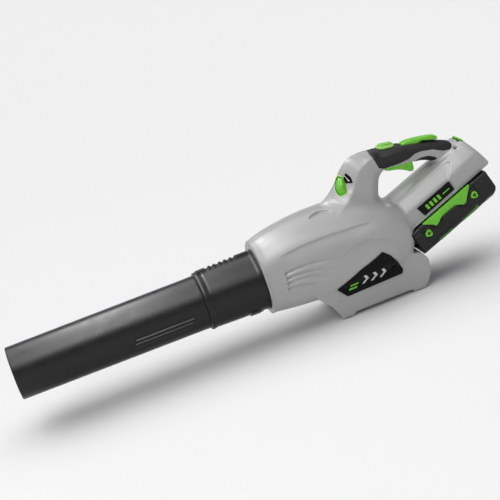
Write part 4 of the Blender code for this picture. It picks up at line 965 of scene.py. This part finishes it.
gd = poly_d(X, Z, [tuple(p) for p in spline(GUARD + GUARD[:1], 4)[:-1]])
face = 55.4 + 1.1 * sstep(-0.5, -5.0, gd)
d = smax(lift(gd), (-gg.y).astype(F32) - lift(face), 0.9)
bar = smax(lift(poly_d(X, Z, BAR)), (-gg.y - 58.0).astype(F32) + 0 * d, 1.0)
d = smin(d, bar, 0.4)
swoop, _ = line_d(X, Z, [tuple(p) for p in spline([(30, -33), (52, -33.5), (84, -32), (110, -29), (124, -27)], 5)])
d = d + lift(0.7 * np.exp(-(swoop / 1.5) ** 2))
for s, t in BOLTS:
    d = smax(d, -lift(np.hypot(X - s, Z - t) - 7.2), 0.6)
d = np.maximum(d, (gg.y + 53.4).astype(F32) + 0 * d)
guard = moulded("battery_side_guard_left", gg, d, BLACK, "battery", ("battery_guard_left",), to_world=DOCK_M, least=80)
mirrored(guard, "battery_side_guard_right", "battery", ("battery_guard_right",))
# dark screw heads down in the side bosses
gg = local_grid((-4, -4, -2), (4, 4, 2), 0.3)
rr, th = np.sqrt(gg.x ** 2 + gg.y ** 2), np.arctan2(gg.y, gg.x)
d = smax(rr - 2.7 + 0 * gg.z, np.abs(gg.z) - 1.1, 0.5)
d = smax(d, -np.maximum(rr + 0.35 * np.cos(6 * th) - 1.2, 0.1 - gg.z), 0.2)
v0, q0 = net(d, gg, 2)
for hand, side in (("left", -1), ("right", 1)):
    for k, (s, t) in enumerate(BOLTS):
        m = DOCK_M @ Matrix.Translation((s, side * 55.0, t)) @ Matrix.Rotation(math.radians(90) * (1 if side < 0 else -1), 4, "X")
        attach(make("battery_bolt_%s_%d" % (hand, k + 1), v0, q0, BLACK, m), "battery")

# ------------------------------------------------------------------ badges, labels and marks
gg = local_grid((104, -79, 32), (232, -40, 99), 0.8)
od = smin(body_solid(gg), skid_field(gg), 5)
edge = round_poly(gg, BADGE, 3.0)
X, Z = on_plane(gg)
DOME = [(183, 90), (196, 96), (209, 84), (222, 63), (212, 58.5), (198, 63), (188, 74)]
dome = poly_d(X, Z, DOME)
rise = 0.2 + 1.0 * sstep(0.0, -5.0, dome) + 0.25 * sstep(0.0, -1.0, dome)
d = smax(edge, np.abs(od + 1.4) - 1.4 - lift(rise), 0.9)
badge = moulded("flank_badge_left", gg, d, GLOSS, "housing", ("badge_left",), least=300)
mirrored(badge, "flank_badge_right", "housing", ("badge_right",))


def marks(name, shapes, lo, hi, level, h, mat, body="housing"):
    """Thin raised marks that follow the badge."""
    gm = local_grid(lo, hi, h)
    X, Z = on_plane(gm)
    sd = None
    for p in shapes:
        e = poly_d(X, Z, p)
        sd = e if sd is None else np.minimum(sd, e)
    od = smin(body_solid(gm), skid_field(gm), 5)
    d = smax(lift(sd), np.abs(od - level + 0.5) - 0.72, 0.25)
    o = moulded(name + "_left", gm, d, mat, body, least=20)
    mirrored(o, name + "_right", body)


def slant(x0, z0, w, h, lean):
    return [(x0, z0), (x0 + w, z0 + w * 0.03), (x0 + w + lean, z0 + h + w * 0.03), (x0 + lean, z0 + h)]


chevrons = [[(x, 47.5), (x + 5.5, 47.7), (x + 13.5, 56.6), (x + 9.0, 65.2), (x + 3.5, 65.0), (x + 8.0, 56.4)] for x in (152, 168, 184)]
marks("badge_chevrons", chevrons, (149, -79, 45), (201, -55, 68), 0.2, 0.55, MARK)
marks("badge_bars", [slant(128, 45.0, 15, 3.6, 1.5), slant(131, 51.6, 15, 3.6, 1.5)], (126, -76, 43), (150, -48, 57), 0.2, 0.55, GREEN)

LABEL = [(36.0, 25.4), (39.7, 6.4), (105.9, 7.6), (105.6, 25.4)]
gg = local_grid((33, -50, 4), (109, -44, 28), 0.5)
d = smax(round_poly(gg, LABEL, 1.0), np.abs(gg.y + 47.0).astype(F32) - 1.3, 0.4)
label = moulded("dock_label_plate_left", gg, d, GLOSS, "housing", ("dock_label_left",), to_world=DOCK_M)
mirrored(label, "dock_label_plate_right", "housing", ("dock_label_right",))
gg = local_grid((44, -50, 8), (104, -46, 24), 0.45)
X, Z = on_plane(gg)
sd = None
for k in range(4):
    s = 50 + 8.2 * k
    e = poly_d(X, Z, [(s, 11.0), (s + 5.2, 11.1), (s + 4.2, 20.6), (s - 1.0, 20.5)])
    sd = e if sd is None else np.minimum(sd, e)
sd = np.minimum(sd, poly_d(X, Z, [(84.5, 14.6), (99.5, 14.8), (99.3, 16.6), (84.3, 16.4)]))
d = smax(lift(sd), np.abs(gg.y + 48.3).astype(F32) - 0.35 + 0 * lift(sd), 0.2)
bars = moulded("dock_label_gauge_left", gg, d, GREEN, "housing", to_world=DOCK_M, least=20)
mirrored(bars, "dock_label_gauge_right", "housing")

# speed wedge printed beside the dial: a dark fan-shaped plate with a paler wedge
gg = local_grid((176, -31, 202), (200, -10, 231), 0.5)
gh = handle_field(gg)
X, Z = on_plane(gg)
PICTO = [(181.8, 226.6), (190.5, 223.6), (194.6, 216.0), (194.4, 207.2), (184.6, 208.8), (182.6, 214.5)]
INNER = [(185.6, 222.0), (186.6, 221.7), (191.9, 210.6), (188.9, 210.9)]
d = smax(lift(poly_d(X, Z, PICTO) - 0.4), np.abs(gh + 0.25) - 0.6, 0.3)
moulded("dial_scale_plate", gg, d, GLOSS, "housing", least=30)
d = smax(lift(poly_d(X, Z, INNER)), np.abs(gh - 0.1) - 0.5, 0.2)
moulded("dial_scale_wedge", gg, d, MARK, "housing", least=20)

# ------------------------------------------------------------------ feet
for end, x0, x1 in (("front", 110.5, 123.5), ("rear", 241.5, 254.5)):
    gg = local_grid((x0 - 1, -53, -1), (x1 + 1, -37.5, 4), 0.45)
    d = box_d(gg, (x0, -51.5, 0.0), (x1, -39.0, 3.0), 0.9)
    d = d + 0.5 * (np.cos((gg.x - x0) * math.tau / 3.25) > 0.4) * sstep(0.9, 0.4, gg.z) * (np.abs(gg.y + 45.25) < 5.0)
    pad = moulded("foot_pad_%s_left_rubber" % end, gg, d, PAD, "housing", ("foot_pad_%s_left" % end,))
    mirrored(pad, "foot_pad_%s_right_rubber" % end, "housing", ("foot_pad_%s_right" % end,))

# ------------------------------------------------------------------ coil springs
def coil(name, m, r, z0, z1, turns, wire_r, node, at=(0, 0)):
    n, k = int(turns * 28), 10
    u = np.arange(n + 1) / n
    a = u * turns * math.tau
    rise = np.interp(u, [0, 0.5 / turns, 1 - 0.5 / turns, 1], [0, 0.04, 0.96, 1])
    c = np.stack([r * np.cos(a), r * np.sin(a), z0 + (z1 - z0) * rise], 1)
    t = np.gradient(c, axis=0)
    t /= np.linalg.norm(t, axis=1)[:, None]
    out = np.stack([np.cos(a), np.sin(a), 0 * a], 1)
    up = np.cross(t, out)
    b = np.arange(k) * math.tau / k
    v = (c[:, None, :] + wire_r * (np.cos(b)[None, :, None] * out[:, None, :] + np.sin(b)[None, :, None] * up[:, None, :])).reshape(-1, 3)
    i, j = np.meshgrid(np.arange(n), np.arange(k), indexing="ij")
    q = np.stack([i * k + j, i * k + (j + 1) % k, (i + 1) * k + (j + 1) % k, (i + 1) * k + j], -1).reshape(-1, 4)
    caps = [tuple(range(k))[::-1], tuple(n * k + x for x in range(k))]
    o = make(name, v + np.array((at[0], at[1], 0.0)), [tuple(f) for f in q] + caps, STEEL, m)
    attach(o, "housing")
    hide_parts(node)
    bpy.context.view_layer.update()
    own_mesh(o)
    return o


coil("trigger_return_spring", BODY_M @ Matrix.Translation(Vector((277, 0, 0))), 3.2, 213.6, 222.0, 5, 0.4, "trigger_spring")
coil("release_return_spring", SLOPE_M, 5.9, -11.0, -3.9, 3.75, 0.45, "release_spring")

# ------------------------------------------------------------------ carried-over nodes
FINISH = {
    "rear_grille": DUCTM, "floor_grille": DUCTM, "duct": DUCTM, "motor_mount": DUCTM, "tail_cone": DUCTM, "motor_can": STEEL,
    "motor_end_cap": DUCTM, "motor_stator": LAMINATED, "motor_windings": COPPER, "motor_shaft": STEEL, "front_bearing": STEEL,
    "rear_bearing": STEEL, "fan": BLACK, "fan_spinner": BLACK, "trigger_pin": STEEL, "lever_pin": STEEL, "dial_pin": STEEL,
    "speed_sensor": BLACK, "power_switch": BLACK, "trigger_spring": STEEL, "spring_seat": DUCTM, "release_spring": STEEL,
    "battery_latch": BLACK, "terminal_block": BLACK, "controller_board": BOARD, "power_lead_positive": LEAD,
    "power_lead_negative": LEAD_BLACK, "cell_pack": CELL, "battery_board": BOARD,
    **{"housing_screw_%d" % k: STEEL for k in range(1, 7)}}
SOFTEN = {"rear_grille": 0.5, "floor_grille": 0.4, "motor_mount": 0.3, "motor_end_cap": 0.4, "battery_latch": 0.4, "terminal_block": 0.3,
          "power_switch": 0.4, "spring_seat": 0.4, "motor_can": 0.3, "duct": 0.4, "controller_board": 0.15,
          **{"housing_screw_%d" % k: 0.2 for k in range(1, 7)}}
for name, o in NODES.items():
    if o.hide_render:
        continue
    o.data.materials.clear()
    o.data.materials.append(FINISH.get(name, BLACK))
    if name in SOFTEN:
        w = o.modifiers.new("weld", "WELD")
        w.merge_threshold = 0.00001
        b = o.modifiers.new("edges", "BEVEL")
        b.width, b.segments, b.limit_method, b.angle_limit = SOFTEN[name] * 0.001, 2, "ANGLE", math.radians(35)
        b.use_clamp_overlap = True

# ------------------------------------------------------------------ camera, floor and light
back = Vector((-0.157, -0.938, 0.309)).normalized()
right = Vector((0.986, -0.165, 0.0)).normalized()
up = back.cross(right).normalized()
roll = math.radians(-17.83947)
cam_x = right * math.cos(roll) + up * math.sin(roll)
cam_y = -right * math.sin(roll) + up * math.cos(roll)
cam = bpy.data.objects.new("camera", bpy.data.cameras.new("camera"))
cam.data.lens, cam.data.sensor_width = 85.0, 36.0
cam.data.clip_start, cam.data.clip_end = 0.05, 50
bpy.context.scene.collection.objects.link(cam)
place = Vector((X_SHIFT * 0.001, 0, 0.155086)) + back * 1.95
cam.matrix_world = Matrix.Translation(place) @ Matrix((cam_x, cam_y, back)).transposed().to_4x4()
bpy.context.scene.camera = cam

bm = bmesh.new()
bmesh.ops.create_grid(bm, x_segments=24, y_segments=24, size=300.0)
me = bpy.data.meshes.new("floor")
bm.to_mesh(me)
bm.free()
floor = bpy.data.objects.new("floor", me)
bpy.context.scene.collection.objects.link(floor)
floor.location = (0, 0, -0.0005)
pale = bpy.data.materials.new("pale_floor")
pale.use_nodes = True
pale.node_tree.nodes["Principled BSDF"].inputs["Base Color"].default_value = (0.86, 0.86, 0.865, 1)
pale.node_tree.nodes["Principled BSDF"].inputs["Roughness"].default_value = 0.9
pale.node_tree.nodes["Principled BSDF"].inputs["Specular IOR Level"].default_value = 0.1
me.materials.append(pale)

bpy.context.scene.view_settings.view_transform = "Standard"
world = bpy.data.worlds.new("studio")
bpy.context.scene.world = world
world.use_nodes = True
wn, wl = world.node_tree.nodes, world.node_tree.links
wn["Background"].inputs["Strength"].default_value = 1.0
aim = wn.new("ShaderNodeTexCoord")
parts = wn.new("ShaderNodeSeparateXYZ")
fall = wn.new("ShaderNodeValToRGB")          # pale at the horizon, dimmer above
fall.color_ramp.elements[0].position, fall.color_ramp.elements[0].color = 0.05, (0.90, 0.905, 0.915, 1)
fall.color_ramp.elements[1].position, fall.color_ramp.elements[1].color = 0.30, (0.19, 0.192, 0.20, 1)
wl.new(aim.outputs["Generated"], parts.inputs[0])
wl.new(parts.outputs["Z"], fall.inputs["Fac"])
wl.new(fall.outputs["Color"], wn["Background"].inputs["Color"])


def lamp(name, at, to, size, size_y, watts, colour=(1, 1, 1)):
    li = bpy.data.lights.new(name, "AREA")
    li.shape, li.size, li.size_y, li.energy, li.color = "RECTANGLE", size, size_y, watts, colour
    o = bpy.data.objects.new(name, li)
    bpy.context.scene.collection.objects.link(o)
    o.location = at
    o.rotation_euler = (Vector(to) - Vector(at)).to_track_quat("-Z", "Y").to_euler()
    return o


sky = bpy.data.lights.new("softbox", "SUN")
sky.energy, sky.angle, sky.color = 2.6, math.radians(84), (1, 0.995, 0.985)
o = bpy.data.objects.new("softbox", sky)
bpy.context.scene.collection.objects.link(o)
o.rotation_euler = Vector((0.14, -0.22, -1.0)).to_track_quat("-Z", "Y").to_euler()
strip = lamp("strip", (-0.25, 0.0, 1.5), (-0.1, 0, 0.1), 2.8, 0.16, 34)
strip.visible_diffuse = False
bank = lamp("bank", (-0.25, -0.95, 1.25), (-0.1, 0, 0.1), 2.6, 0.8, 14)
bank.visible_diffuse = False
lamp("front_left", (-1.5, -1.1, 0.7), (0.05, 0, 0.1), 0.5, 1.0, 4.0)
